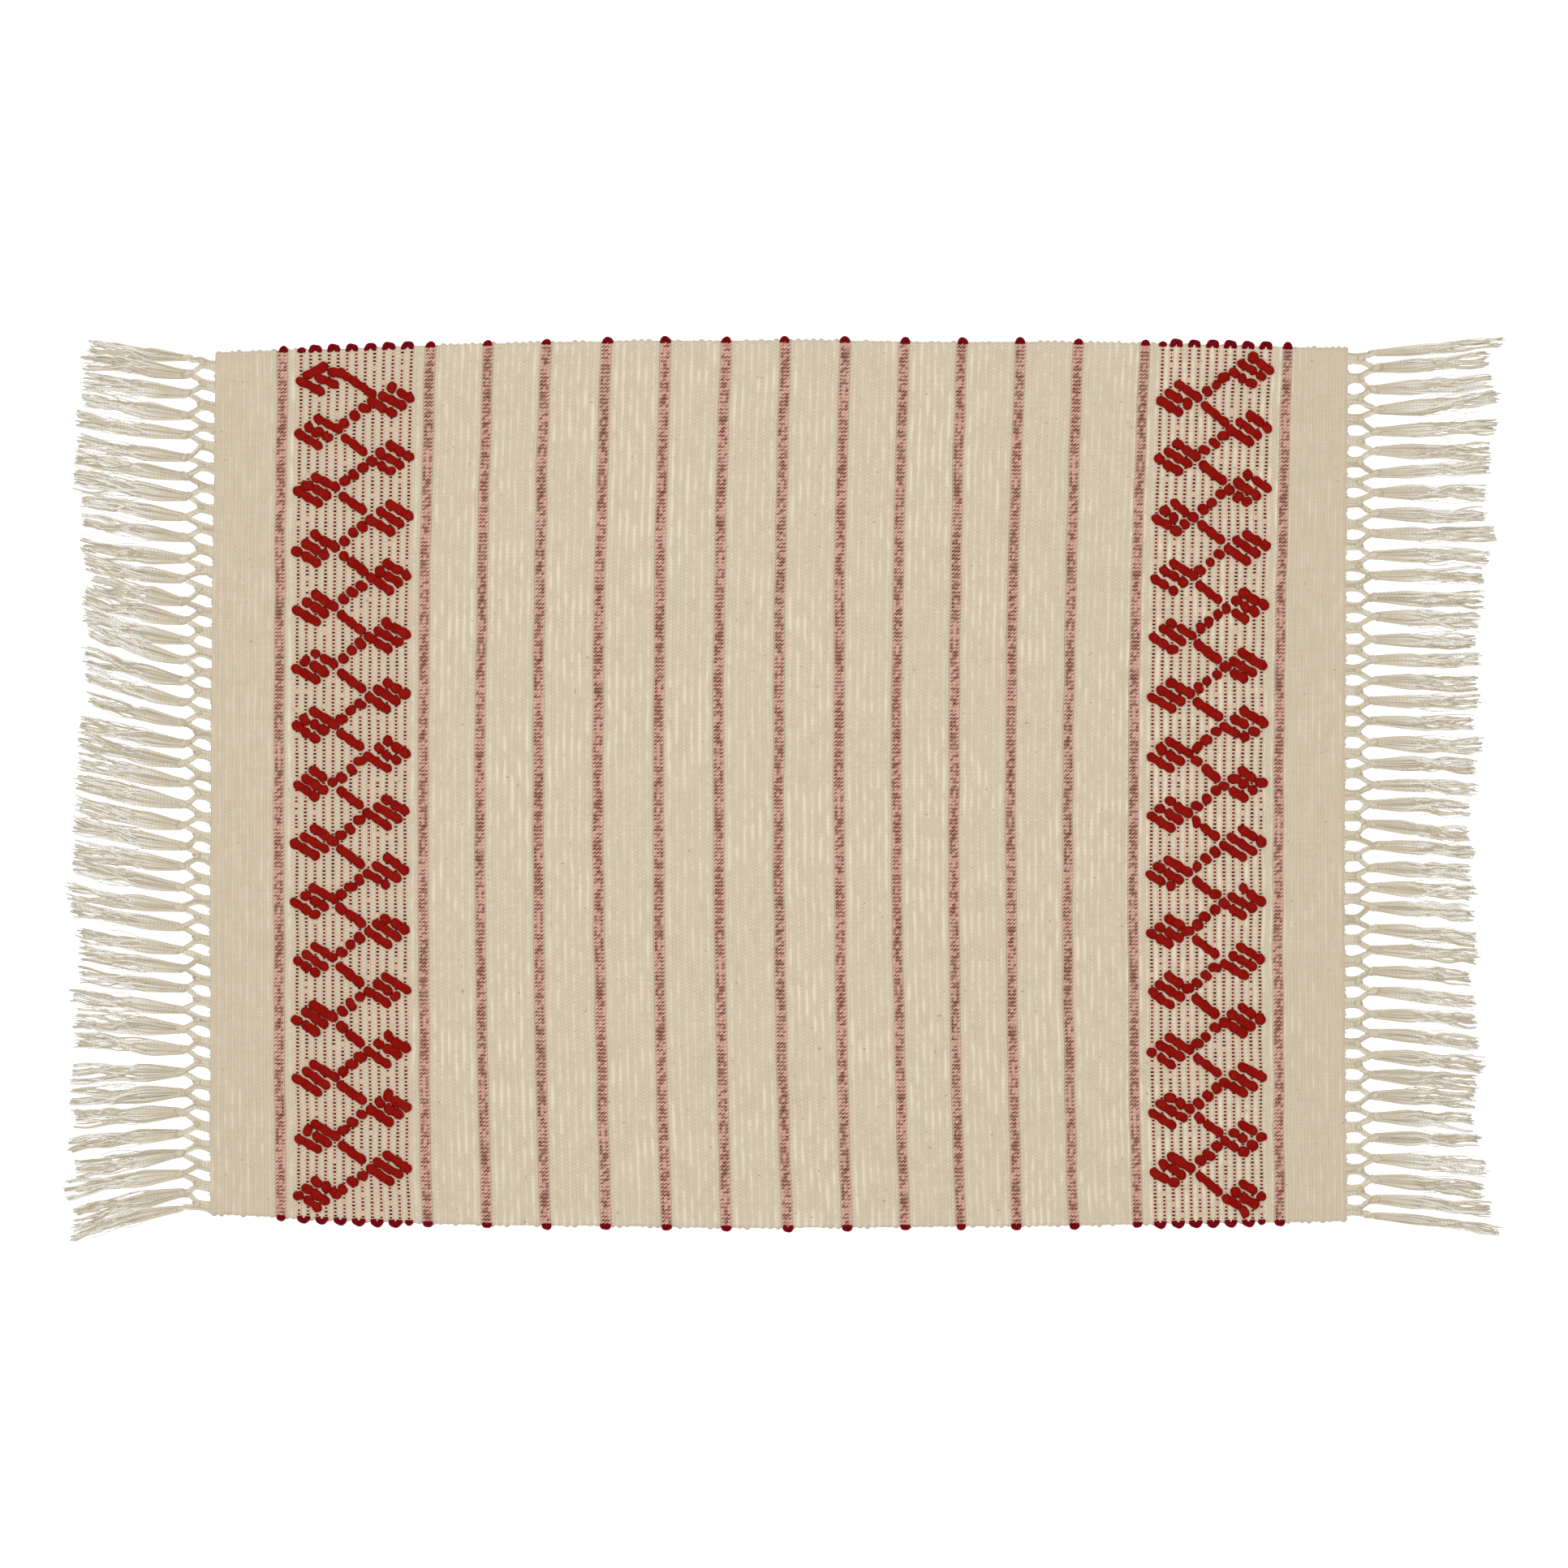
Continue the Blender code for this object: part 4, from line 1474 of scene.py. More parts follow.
@dataclass
class LineYarn:
    """The thin red weft of one brocade band: thirteen single picks, and the turns that join them.

    The drop, float rise and proud place are its face's heights, the body is how deep it goes, and the
    reach is how far its turns stand beyond the selvedge.
    """

    loom: Loom
    end: End
    lines: int = 13
    width: float = 3.1 * MM
    columns: int = 5
    drop: float = 0.42 * MM
    float_rise: float = 0.14 * MM
    proud: float = 0.12 * MM
    body: float = 0.9 * MM
    reach: float = 3.6 * MM
    inset: float = 1.5 * MM
    turn_gap: float = 0.4 * MM
    tail_half: float = 0.9 * MM
    tail_reach: float = 1.9 * MM
    count_shift: int = 2 * 59

    def places(self) -> Array:
        """Where the lines lie.

        Returns:
            Their middles along X, from the rug's end inwards.
        """
        low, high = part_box(f"{self.end.label}_line_yarn")
        along = np.linspace(low.x + self.inset, high.x - self.inset, self.lines)
        return along[:: int(self.end.turn)]

    def build(self, finish: bpy.types.Material, turn_finish: bpy.types.Material) -> bpy.types.Object:
        """Makes the yarn.

        Args:
            finish: The lines' material.
            turn_finish: The material of the turns at the selvedges.

        Returns:
            The yarn, with both materials.
        """
        loom = self.loom
        y = loom.warp_places()
        rows = np.arange(loom.warps)
        across = np.linspace(0, 1, self.columns)
        crown = np.sin(math.pi * across)
        maker = MeshMaker()
        for number, middle in enumerate(self.places()):
            weft_up = np.where(rows % 2 == 0, -1.0, 1.0)[:, None]
            depth = self.drop * (1 - crown) + self.float_rise * (1 + weft_up * crown)
            top = loom.top + self.proud - depth
            x_top = middle + (across - 0.5) * self.width
            x = np.concatenate([np.broadcast_to(x_top, top.shape),
                                np.broadcast_to(x_top[[-1, 0]], (len(rows), 2))], axis=1)
            z = np.concatenate([top, np.full((len(rows), 2), loom.top - self.body)], axis=1)
            u = np.concatenate([across, across[[-1, 0]]])
            placed_x, placed_y = loom.lie.place(x, np.broadcast_to(y[:, None], x.shape))
            numbers = maker.points(np.stack([placed_x, placed_y, z], axis=-1))
            after = np.roll(numbers, -1, axis=1)
            quads = np.stack([numbers[:-1], numbers[1:], after[1:], after[:-1]], axis=-1)
            v = np.broadcast_to(rows[:, None] + 0.5 + self.count_shift * number, x.shape)
            uu = np.broadcast_to(u, x.shape)
            u_after = np.roll(uu, -1, axis=1)
            corners = ((uu[:-1], v[:-1]), (uu[1:], v[1:]), (u_after[1:], v[1:]),
                       (u_after[:-1], v[:-1]))
            yarn = np.stack([np.stack(c, axis=-1) for c in corners], axis=-2)
            maker.faces(quads.reshape(-1, 4), yarn.reshape(-1, 4, 2))
            for row, order in ((0, 1), (-1, -1)):
                where = np.stack([u[::order], np.full(len(u), v[row, 0])], axis=-1)
                maker.faces(numbers[row][None, ::order], where[None], False)
        return self._with_turns(maker.build(f"{self.end.label}_line_yarn", finish), turn_finish)

    def _with_turns(
        self, lines: bpy.types.Object, turn_finish: bpy.types.Material
    ) -> bpy.types.Object:
        """Joins the turns and the two loose tails to the lines.

        Args:
            lines: The lines.
            turn_finish: The material of the turns.

        Returns:
            The lines with their turns.
        """
        turns = Turns(self.loom)
        maker = MeshMaker()
        places = self.places()
        seed = 0 if self.end is End.LEFT else 40
        for i in range(self.lines - 1):
            side = -self.end.turn if i % 2 == 0 else self.end.turn
            low, high = sorted((places[i], places[i + 1]))
            low, high = low + self.turn_gap, high - self.turn_gap
            turns.add(maker, low, high, side, self.reach, seed + i)
        for middle, side in ((places[0], self.end.turn), (places[-1], -self.end.turn)):
            low, high = middle - self.tail_half, middle + self.tail_half
            turns.add(maker, low, high, side, self.tail_reach, seed + 30)
        return joined(lines, maker.build("turns", turn_finish))


def node_of(piece: bpy.types.Object) -> str:
    """The frame's node that a piece stands for.

    Args:
        piece: The piece.

    Returns:
        The node's name.
    """
    return piece.name.removesuffix(SUFFIX)


def joined(first: bpy.types.Object, *others: bpy.types.Object) -> bpy.types.Object:
    """Joins objects into the first one, which keeps its name.

    Args:
        first: The object that takes the others in.
        others: The objects that go into it.

    Returns:
        The first object.
    """
    with bpy.context.temp_override(
        active_object=first, object=first, selected_editable_objects=[first, *others]
    ):
        bpy.ops.object.join()
    return first


@dataclass
class Fringe:
    """The knotted fringe of one end, thread by thread.

    A bundle's threads leave the cloth, come together under a first knot, and part at the fork. At
    the shoulder each half meets its neighbour's half in a second knot, and a tassel hangs from it.
    The first knot is given as its place out from the cloth, its length and its height, and by half
    its width. The tips give, for stations along the end, how far a tassel drifts sideways and how far
    out it reaches, in millimetres.
    """

    loom: Loom
    end: End
    groups: int = 7
    per_group: int = 6
    threads: int = 12
    thread: float = 0.9 * MM
    thread_rings: int = 22
    root_spread: float = 3.5 * MM
    root_slant: float = -2.6 * MM
    fork: float = 9.4 * MM
    shoulder: float = 15.4 * MM
    lane: float = 2.0
    least_height: float = 0.92 * MM
    first_knot: tuple[float, float, float] = (8.6 * MM, 4.4 * MM, 2.6 * MM)
    first_knot_half: dict[End, float] = field(
        default_factory=lambda: {End.LEFT: 2.4 * MM, End.RIGHT: 3.0 * MM}
    )
    knot: float = 7.2 * MM
    knot_half: float = 3.2 * MM
    knot_height: float = 3.0 * MM
    knot_margin: float = 3.5 * MM
    wrap_turns: int = 6
    strands: int = 24
    strand_rings: int = 20
    locks: int = 6
    outermost_size: float = 0.72
    outermost_share: float = 0.7
    neck: float = 2.3 * MM
    drift_power: float = 1.2
    tassel_height: float = 2.5 * MM
    tassel_floor: float = 0.74 * MM
    fullness: dict[End, float] = field(
        default_factory=lambda: {End.LEFT: 1.08, End.RIGHT: 0.93}
    )
    fibres: int = 8
    fibre: float = 0.2 * MM
    bend_from: float = 1.0 * MM
    bend_to: float = 7.0 * MM
    tips: dict[End, tuple[tuple[float, float, float], ...]] = field(
        default_factory=lambda: {
            End.LEFT: ((-1.00, -19.0, 94.0), (-0.85, -12.0, 93.0), (-0.76, -2.0, 94.0),
                       (-0.66, 0.0, 90.0), (-0.55, 10.0, 89.0), (-0.15, 13.0, 93.0),
                       (0.05, 15.0, 87.0), (0.27, 19.0, 82.0), (0.50, 11.0, 86.0),
                       (0.75, 11.0, 91.0), (1.00, 9.0, 87.0)),
            End.RIGHT: ((-1.00, -8.0, 99.0), (-0.80, -5.0, 89.0), (-0.20, -6.0, 86.0),
                        (0.20, -2.0, 88.0), (0.60, -1.0, 92.0), (0.85, 3.0, 98.0),
                        (1.00, 7.0, 98.0)),
        }
    )

    def __post_init__(self) -> None:
        """Draws what varies from bundle to bundle."""
        count = self.groups * self.per_group
        rng = np.random.default_rng(SEED + (71 if self.end is End.LEFT else 72))
        self.pitch = 2 * self.loom.selvedge / count
        self.knot_out = rng.normal(0, 0.9 * MM, count + 1)
        self.knot_shift = rng.normal(0, 0.6 * MM, count + 1)
        self.tip_shift = rng.normal(0, 1.6 * MM, count + 1)
        self.tip_length = rng.normal(0, 2.4 * MM, count + 1)
        self.rng = rng

    def _place(self, out: Array, along: Array, z: Array) -> Array:
        """Moves places on the fringe into the rug's frame.

        Args:
            out: Distance out from the cloth.
            along: Place along the end, before the half turn.
            z: Height.

        Returns:
            Points.
        """
        turn = self.end.turn
        edge = np.full(np.shape(along), -self.loom.cloth_end * turn)
        held = np.clip(along * turn, -self.loom.selvedge, self.loom.selvedge)
        x, y = self.loom.lie.place(edge, held)
        y = y + (along * turn - held)
        return np.stack(np.broadcast_arrays(x - turn * out, y, z), axis=-1)

    def _knot_place(self, index: int) -> float:
        """Where a second knot is.

        Args:
            index: The knot's number, from 0.

        Returns:
            Its place along the end.
        """
        limit = self.loom.selvedge - self.knot_margin
        place = -self.loom.selvedge + self.pitch * index + self.knot_shift[index]
        return float(np.clip(place, -limit, limit))

    def _hand(self) -> int:
        """1 or -1, the way that the next knot is tied."""
        return 1 if self.rng.random() < 0.5 else -1

    def _bundle_path(self, bundle: int, middle: float) -> Array:
        """Where one bundle's threads run, from the cloth to its two second knots.

        Args:
            bundle: The bundle's number, from 0.
            middle: Its place along the end.

        Returns:
            Points that the threads pass, (threads, points, 3).
        """
        rng = self.rng
        order = (np.arange(self.threads) - (self.threads - 1) / 2) / ((self.threads - 1) / 2)
        upper = order > 0
        target = np.where(upper, self._knot_place(bundle + 1), self._knot_place(bundle))
        ends = np.where(upper, self.knot_out[bundle + 1], self.knot_out[bundle])
        lane = np.where(upper, order - 0.55, order + 0.55) * self.lane
        shoulder = self.shoulder + ends
        jitter = rng.normal(0, 0.22 * MM, (6, self.threads))
        lift = rng.uniform(-0.5, 0.5, self.threads) * MM
        side = np.sign(target - middle)
        ones = np.ones(self.threads)
        slant = self.root_slant if self.end is End.LEFT else 0.0
        out = np.stack([
            -1.2 * MM * ones,
            1.4 * MM * ones,
            4.2 * MM * ones,
            self.fork * ones,
            (self.fork + shoulder) / 2,
            shoulder,
            shoulder + 3.0 * MM,
        ])
        along = np.stack([
            middle + slant + order * self.root_spread,
            middle + slant * 0.8 + order * self.root_spread * 0.9 + jitter[0],
            middle + slant * 0.5 + order * self.root_spread * 0.75 + jitter[1],
            middle + side * 2.1 * MM + lane * 1.3 * MM + jitter[2],
            (middle + target) / 2 + side * 0.4 * MM + lane * 1.35 * MM + jitter[3] * 0.6,
            target - side * 1.6 * MM + lane * 1.0 * MM + jitter[4] * 0.5,
            target + lane * 0.5 * MM + jitter[5] * 0.5,
        ])
        height = np.stack([
            2.3 * MM * ones,
            2.2 * MM + lift,
            2.4 * MM + 1.6 * lift,
            2.0 * MM + 1.3 * lift,
            1.8 * MM + 1.2 * lift,
            2.5 * MM + 1.2 * lift,
            3.0 * MM + lift,
        ])
        return self._place(out.T, along.T, np.maximum(height.T, self.least_height))

    def _bundle(self, maker: MeshMaker, bundle: int) -> None:
        """Adds one bundle's threads, from the cloth to its two second knots.

        Args:
            maker: Where they go.
            bundle: The bundle's number, from 0.
        """
        rng = self.rng
        middle = -self.loom.selvedge + self.pitch * (bundle + 0.5) + rng.normal(0, 0.3 * MM)
        path = self._bundle_path(bundle, middle)
        lines = through(path, np.linspace(0, 1, self.thread_rings))
        radii = np.full((*lines.shape[:2], 2), self.thread)
        maker.tubes(lines, radii, 6)
        hand = self._hand()
        out, length, height = self.first_knot
        half = self.first_knot_half[self.end] * rng.uniform(0.9, 1.08)
        self._wrap(maker, out, middle, length, half, height, hand)
        if middle + self.pitch < self.loom.selvedge:
            self._nubs(maker, middle + self.pitch / 2)

    def _nubs(self, maker: MeshMaker, middle: float) -> None:
        """Adds the short bright ends of warp that stand at the cloth's edge between two bundles.

        Args:
            maker: Where they go.
            middle: The place along the end, between the bundles.
        """
        rng = self.rng
        count = int(rng.integers(2, 5))
        along = middle + rng.uniform(-3.4, 3.4, (count, 1)) * MM
        reach = rng.uniform(0.5, 1.2, (count, 1)) * MM
        places = np.linspace(-1, 1, 7)[None]
        height = 2.6 * MM + 0.5 * MM * (1 - places**2)
        lines = self._place(reach * places, along + 0 * places, height)
        blunt = np.sqrt(np.clip(1.02 - places**2, 0.02, 1.0))
        size = blunt * rng.uniform(0.5, 0.75, (count, 1)) * MM
        maker.tubes(lines, np.repeat(size[..., None], 2, axis=-1), 8)

    def _wrap(
        self, maker: MeshMaker, out: float, along: float, length: float, half_width: float,
        middle_height: float, hand: int,
    ) -> None:
        """Adds the turns of threads that make one knot.

        Args:
            maker: Where they go.
            out: The knot's middle, out from the cloth.
            along: Its place along the end.
            length: Its length.
            half_width: Half its width.
            middle_height: The height of its middle.
            hand: 1 or -1, the way that it is tied.
        """
        rng = self.rng
        lanes = self.wrap_turns
        radius = length / lanes * 0.66
        angle = np.linspace(-0.35 * math.pi, 1.9 * math.pi, 24)
        lane = (np.arange(lanes) - (lanes - 1) / 2) / ((lanes - 1) / 2)
        start = lane * (length / 2 - radius) * 0.9
        slope = hand * 0.34 * length * (angle / math.pi - 0.5)
        swell = np.sqrt(1 - 0.62 * lane**2)
        ring = (half_width - radius) * swell[:, None] * (1 + rng.normal(0, 0.05, (lanes, 1)))
        high = (middle_height - radius) * swell[:, None] * np.ones_like(ring)
        places = self._place(
            out + start[:, None] + slope[None],
            along + ring * np.cos(angle),
            middle_height + high * np.sin(angle),
        )
        turn = self.end.turn
        flat = np.zeros((lanes, len(angle)))
        ups = np.stack([flat, flat + turn * np.cos(angle), flat + np.sin(angle)], axis=-1)
        radii = np.full((*places.shape[:2], 2), radius)
        maker.tubes(places, radii, 8, ups=ups)

    def _tip(self, index: int, knot_at: float, start: float) -> tuple[float, float]:
        """Where a tassel's tip lies.

        Args:
            index: The tassel's number, from 0.
            knot_at: Its knot's place along the end.
            start: Where the tassel starts, out from the cloth.

        Returns:
            How far it drifts sideways, and the tassel's length.
        """
        at = knot_at * self.end.turn / self.loom.selvedge
        stations, drifts, reaches = (np.array(column) for column in zip(*self.tips[self.end]))
        drift = np.interp(at, stations, drifts) * MM * self.end.turn + self.tip_shift[index]
        reach = np.interp(at, stations, reaches) * MM - start + self.tip_length[index]
        return drift, reach

    def _tassel(self, maker: MeshMaker, index: int) -> None:
        """Adds one second knot and the loose threads below it.

        The threads fan out from the knot's neck, then gather in a few locks that wave together.

        Args:
            maker: Where they go.
            index: The knot's number, from 0.
        """
        rng = self.rng
        outermost = index in (0, self.groups * self.per_group)
        size = self.outermost_size if outermost else 1.0
        knot_at = self._knot_place(index)
        knot_out = self.shoulder + self.knot_out[index]
        hand = self._hand()
        fat = size * rng.uniform(0.92, 1.06)
        self._wrap(maker, knot_out + self.knot / 2, knot_at, self.knot, self.knot_half * fat,
                   self.knot_height * fat + 0.1 * MM, hand)
        start = knot_out + self.knot * 0.6
        drift, reach = self._tip(index, knot_at, start)
        count = int(self.strands * (self.outermost_share if outermost else 1.0))
        lock = rng.integers(0, self.locks, count)
        within = rng.uniform(-1, 1, count)
        order = (np.arange(count) / (count - 1)) * 2 - 1
        centres = np.linspace(-0.88, 0.88, self.locks) + rng.normal(0, 0.10, self.locks)
        places = np.linspace(0, 1, self.strand_rings)[None]
        fan = ease(-0.1, 0.40, places) * (0.88 + 0.12 * places)
        apart = ease(0.3, 0.85, places)
        half = rng.uniform(4.6, 6.0) * MM * size * self.fullness[self.end]
        at_tip = (centres[lock] + 0.16 * within)[:, None]
        spread = order[:, None] * (1 - apart) + at_tip * apart
        lanes = order[:, None] * self.neck * size * (1 - fan) + spread * half * fan
        lock_waves = rng.uniform(1.0, 2.6, self.locks)[lock][:, None]
        lock_phase = rng.uniform(0, 2 * math.pi, self.locks)[lock][:, None]
        own_phase = rng.normal(0, 0.5, (count, 1))
        swing = ease(0.25, 0.7, places) * MM
        lanes = lanes + 0.75 * swing * np.sin(2 * math.pi * lock_waves * places + lock_phase)
        own_waves = rng.uniform(2.5, 5.0, (count, 1))
        lanes = lanes + 0.35 * swing * np.sin(2 * math.pi * own_waves * places + own_phase)
        bend = rng.normal(0, 1.1 * MM)
        lanes = lanes + drift * places**self.drift_power + bend * np.sin(math.pi * places) * places
        out = start + (reach + rng.normal(0, 1.5 * MM, (count, 1))) * places
        layer = rng.uniform(0, 1, (count, 1))
        room = (1 - 0.45 * fan) * self.tassel_height
        z = 1.2 * MM + layer * room * (0.6 + 0.4 * fan) + (1 - fan) * 0.6 * MM
        z = z + 0.45 * swing * np.sin(2 * math.pi * own_waves * places - own_phase)
        lines = self._place(out, knot_at + lanes, np.maximum(z, self.tassel_floor))
        taper = 1.0 - 0.3 * ease(0.9, 1.0, places)
        thick = rng.uniform(0.46, 0.72, (count, 1)) * MM
        radii = np.repeat((thick * taper)[..., None], 2, axis=-1)
        maker.tubes(lines, radii, 5)
        self._fibres(maker, knot_at, start, reach, drift, half)

    def _fibres(
        self, maker: MeshMaker, knot_at: float, start: float, reach: float, drift: float, half: float
    ) -> None:
        """Adds the finer fibres that have worked loose from one tassel.

        Args:
            maker: Where they go.
            knot_at: The knot's place along the end.
            start: Where the tassel starts, out from the cloth.
            reach: The tassel's length.
            drift: How far its tip lies to one side.
            half: Half its width at the tip.
        """
        rng = self.rng
        count = self.fibres
        places = np.linspace(0, 1, 16)[None]
        begin = rng.uniform(0.05, 0.5, (count, 1))
        finish = np.minimum(begin + rng.uniform(0.35, 0.9, (count, 1)), 1.03)
        share = begin + (finish - begin) * places
        side = rng.uniform(-1.25, 1.25, (count, 1)) * half
        waves = rng.uniform(0.8, 3.0, (count, 1))
        phase = rng.uniform(0, 2 * math.pi, (count, 1))
        lanes = side * ease(0, 0.5, share) + drift * share**self.drift_power
        lanes = lanes + 1.1 * MM * np.sin(2 * math.pi * waves * share + phase) * ease(0, 0.3, share)
        z = rng.uniform(0.3, 3.2, (count, 1)) * MM * (1 - 0.5 * share) + 0.1 * MM
        lines = self._place(start + reach * share, knot_at + lanes, z)
        radii = np.full((*lines.shape[:2], 2), self.fibre)
        maker.tubes(lines, radii, 4)

    def build(self, finish: bpy.types.Material) -> list[bpy.types.Object]:
        """Makes the fringe, one piece for each of its groups.

        Args:
            finish: The threads' material.

        Returns:
            The pieces.
        """
        pieces = []
        for group in range(self.groups):
            maker = MeshMaker()
            first = group * self.per_group
            for bundle in range(first, first + self.per_group):
                self._bundle(maker, bundle)
            for index in range(first + (group > 0), first + self.per_group + 1):
                self._tassel(maker, index)
            pieces.append(maker.build(f"{self.end.label}_fringe_{group + 1}", finish))
        return pieces

    def dress(self, pieces: list[bpy.types.Object]) -> None:
        """Applies each piece's transform to its mesh, and hides the frame's node that it stands for.

        Args:
            pieces: The fringe's pieces.
        """
        for piece in pieces:
            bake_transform(piece)
            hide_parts(node_of(piece))


@dataclass
class WarpSheet:
    """The warp itself: one continuous sheet of threads inside the weft, seen at the cloth's ends."""

    loom: Loom
    thickness: float = 1.2 * MM
    weave: float = 0.25 * MM
    columns: int = 120

    def build(self, finish: bpy.types.Material) -> bpy.types.Object:
        """Makes the sheet.

        Args:
            finish: Its material.

        Returns:
            The sheet.
        """
        loom = self.loom
        low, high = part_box("warp_sheet")
        x = np.linspace(low.x, high.x, self.columns)
        y = np.linspace(high.y, low.y, loom.warps // 2)
        rise = np.where((np.arange(self.columns)[:, None] + np.arange(len(y))) % 2 == 0, 1.0, -1.0)
        middle = (low.z + high.z) / 2 + self.weave * rise
        xx, yy = loom.lie.place(*np.meshgrid(x, y, indexing="ij"))
        maker = MeshMaker()
        halves = (self.thickness / 2, -self.thickness / 2)
        top, under = (maker.points(np.stack([xx, yy, middle + half], axis=-1)) for half in halves)
        u = np.broadcast_to(x[:, None] / MM, xx.shape)
        v = np.broadcast_to(np.arange(len(y))[None] * 1.0, xx.shape)
        where = np.stack([u, v], axis=-1)

        def patch(numbers: Array, places: Array, flip: bool) -> None:
            """Adds a grid of faces.

            Args:
                numbers: The points' numbers.
                places: The points' places on the yarn.
                flip: Whether the faces look the other way.
            """
            order = [0, 1, 2, 3] if flip else [0, 3, 2, 1]
            first, last = slice(None, -1), slice(1, None)
            around = ((first, first), (last, first), (last, last), (first, last))
            corners = np.stack([numbers[at] for at in around], axis=-1).reshape(-1, 4)
            yarn = np.stack([places[at] for at in around], axis=-2).reshape(-1, 4, 2)
            maker.faces(corners[:, order], yarn[:, order])

        patch(top, where, False)
        patch(under, where, True)
        every = slice(None)
        rims = (((0, every), False), ((-1, every), True), ((every, 0), True), ((every, -1), False))
        for rim, flip in rims:
            patch(np.stack([top[rim], under[rim]]), np.stack([where[rim]] * 2), flip)
        return maker.build("warp_sheet", finish)


@dataclass(frozen=True)
class BandPlan:
    """One band of weft: its node, where it starts, its picks' edges and its sunk picks."""

    node: str
    low: float
    edges: Array
    sunk: tuple[int, ...] = ()


@dataclass
class Cloth:
    """The woven body: its bands of weft, its stripes, its red lines and its vines."""

    loom: Loom
    finishes: Finishes
    stripes: int = 15
    field_bands: int = 12
    gap: float = 0.3 * MM
    stripe_picks: int = 3
    stripe_valley: float = 0.30 * MM
    slot_play: float = 0.15 * MM
    margin_picks: int = 3
    pieces: list[bpy.types.Object] = field(default_factory=list)

    def _span(self, node: str) -> tuple[float, float]:
        """Where a band runs along X, up to the middle of the gap on each side.

        Args:
            node: The band's node.

        Returns:
            Its two ends.
        """
        low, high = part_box(node)
        limit = self.loom.cloth_end
        return max(low.x - self.gap / 2, -limit), min(high.x + self.gap / 2, limit)

    def _keep(self, piece: bpy.types.Object) -> None:
        """Puts a piece on the cloth, in the place of the node that it is named after.

        Args:
            piece: The piece.
        """
        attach(piece, CLOTH)
        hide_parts(node_of(piece))
        self.pieces.append(piece)

    def _brocade_edges(self, end: End) -> tuple[Array, tuple[int, ...]]:
        """The picks of a brocade band, with a slot for each red line.

        Args:
            end: Which band.

        Returns:
            The picks' edges along X, and which picks are the lines' slots.
        """
        low, high = self._span(f"{end.label}_brocade_ground")
        yarn = LineYarn(self.loom, end)
        lines = np.sort(yarn.places())
        half = yarn.width / 2 - self.slot_play
        first = np.linspace(low, lines[0] - half, self.margin_picks + 1)
        inner = np.stack([lines - half, lines + half], axis=1).ravel()[1:-1]
        last = np.linspace(lines[-1] + half, high, self.margin_picks + 1)
        edges = np.concatenate([first, inner, last])
        slots = range(self.margin_picks, self.margin_picks + 2 * len(lines), 2)
        return edges, tuple(slots)

    def _plan(self) -> list[BandPlan]:
        """Plans every band of weft.

        Returns:
            The bands, from left to right.
        """
        bands: list[BandPlan] = []
        plain = ["left_end_band", "right_end_band"]
        plain += [f"field_band_{i + 1}" for i in range(self.field_bands)]
        for node in plain:
            low, high = self._span(node)
            count = max(2, round((high - low) / self.loom.pick))
            bands.append(BandPlan(node, low, np.linspace(low, high, count + 1)))
        for end in End:
            edges, sunk = self._brocade_edges(end)
            bands.append(BandPlan(f"{end.label}_brocade_ground", edges[0], edges, sunk))
        for i in range(self.stripes):
            node = f"stripe_{i + 1}"
            low, high = self._span(node)
            bands.append(BandPlan(node, low, np.linspace(low, high, self.stripe_picks + 1)))
        return sorted(bands, key=lambda band: band.low)

    def build(self) -> None:
        """Makes every piece of the cloth."""
        first_pick = 0
        for plan in self._plan():
            node, edges = plan.node, plan.edges
            striped = node.startswith("stripe")
            band = WovenBand(self.loom, node, edges, first_pick, sunk=plan.sunk)
            if striped:
                band.steps = 2
                band.odd_drop = 0.0
                band.valley = self.stripe_valley
                band.own_count = True
            plain = self.finishes.hem if node.endswith("end_band") else self.finishes.ground
            finish = self.finishes.stripe if striped else plain
            piece = band.build(finish)
            if striped:
                piece = joined(piece, self._stripe_turns(edges, first_pick))
            self._keep(piece)
            first_pick += len(edges) - 1
        for end in End:
            lines = LineYarn(self.loom, end).build(self.finishes.line, self.finishes.turn)
            self._keep(lines)
            vine = Brocade(self.loom, end).build(self.finishes.brocade)
            self._keep(vine)
        self._keep(WarpSheet(self.loom).build(self.finishes.warp))

    def _stripe_turns(self, edges: Array, seed: int) -> bpy.types.Object:
        """The small dark turns of one stripe's yarn at both selvedges.

        Args:
            edges: The edges of the stripe's picks along X.
            seed: Varies the turns.

        Returns:
            The turns, as one object.
        """
        rng = np.random.default_rng(SEED + 400 + seed)
        turns = Turns(self.loom, width=4.0 * MM, height=3.2 * MM, inset=1.6 * MM)
        maker = MeshMaker()
        middle = (edges[0] + edges[-1]) / 2
        for side in (1.0, -1.0):
            shift = rng.uniform(-0.8, 0.8) * MM
            half = rng.uniform(1.5, 2.2) * MM
            reach = rng.uniform(2.3, 3.3) * MM
            turns.add(maker, middle + shift - half, middle + shift + half, side, reach, seed)
        return maker.build("turns", self.finishes.turn)


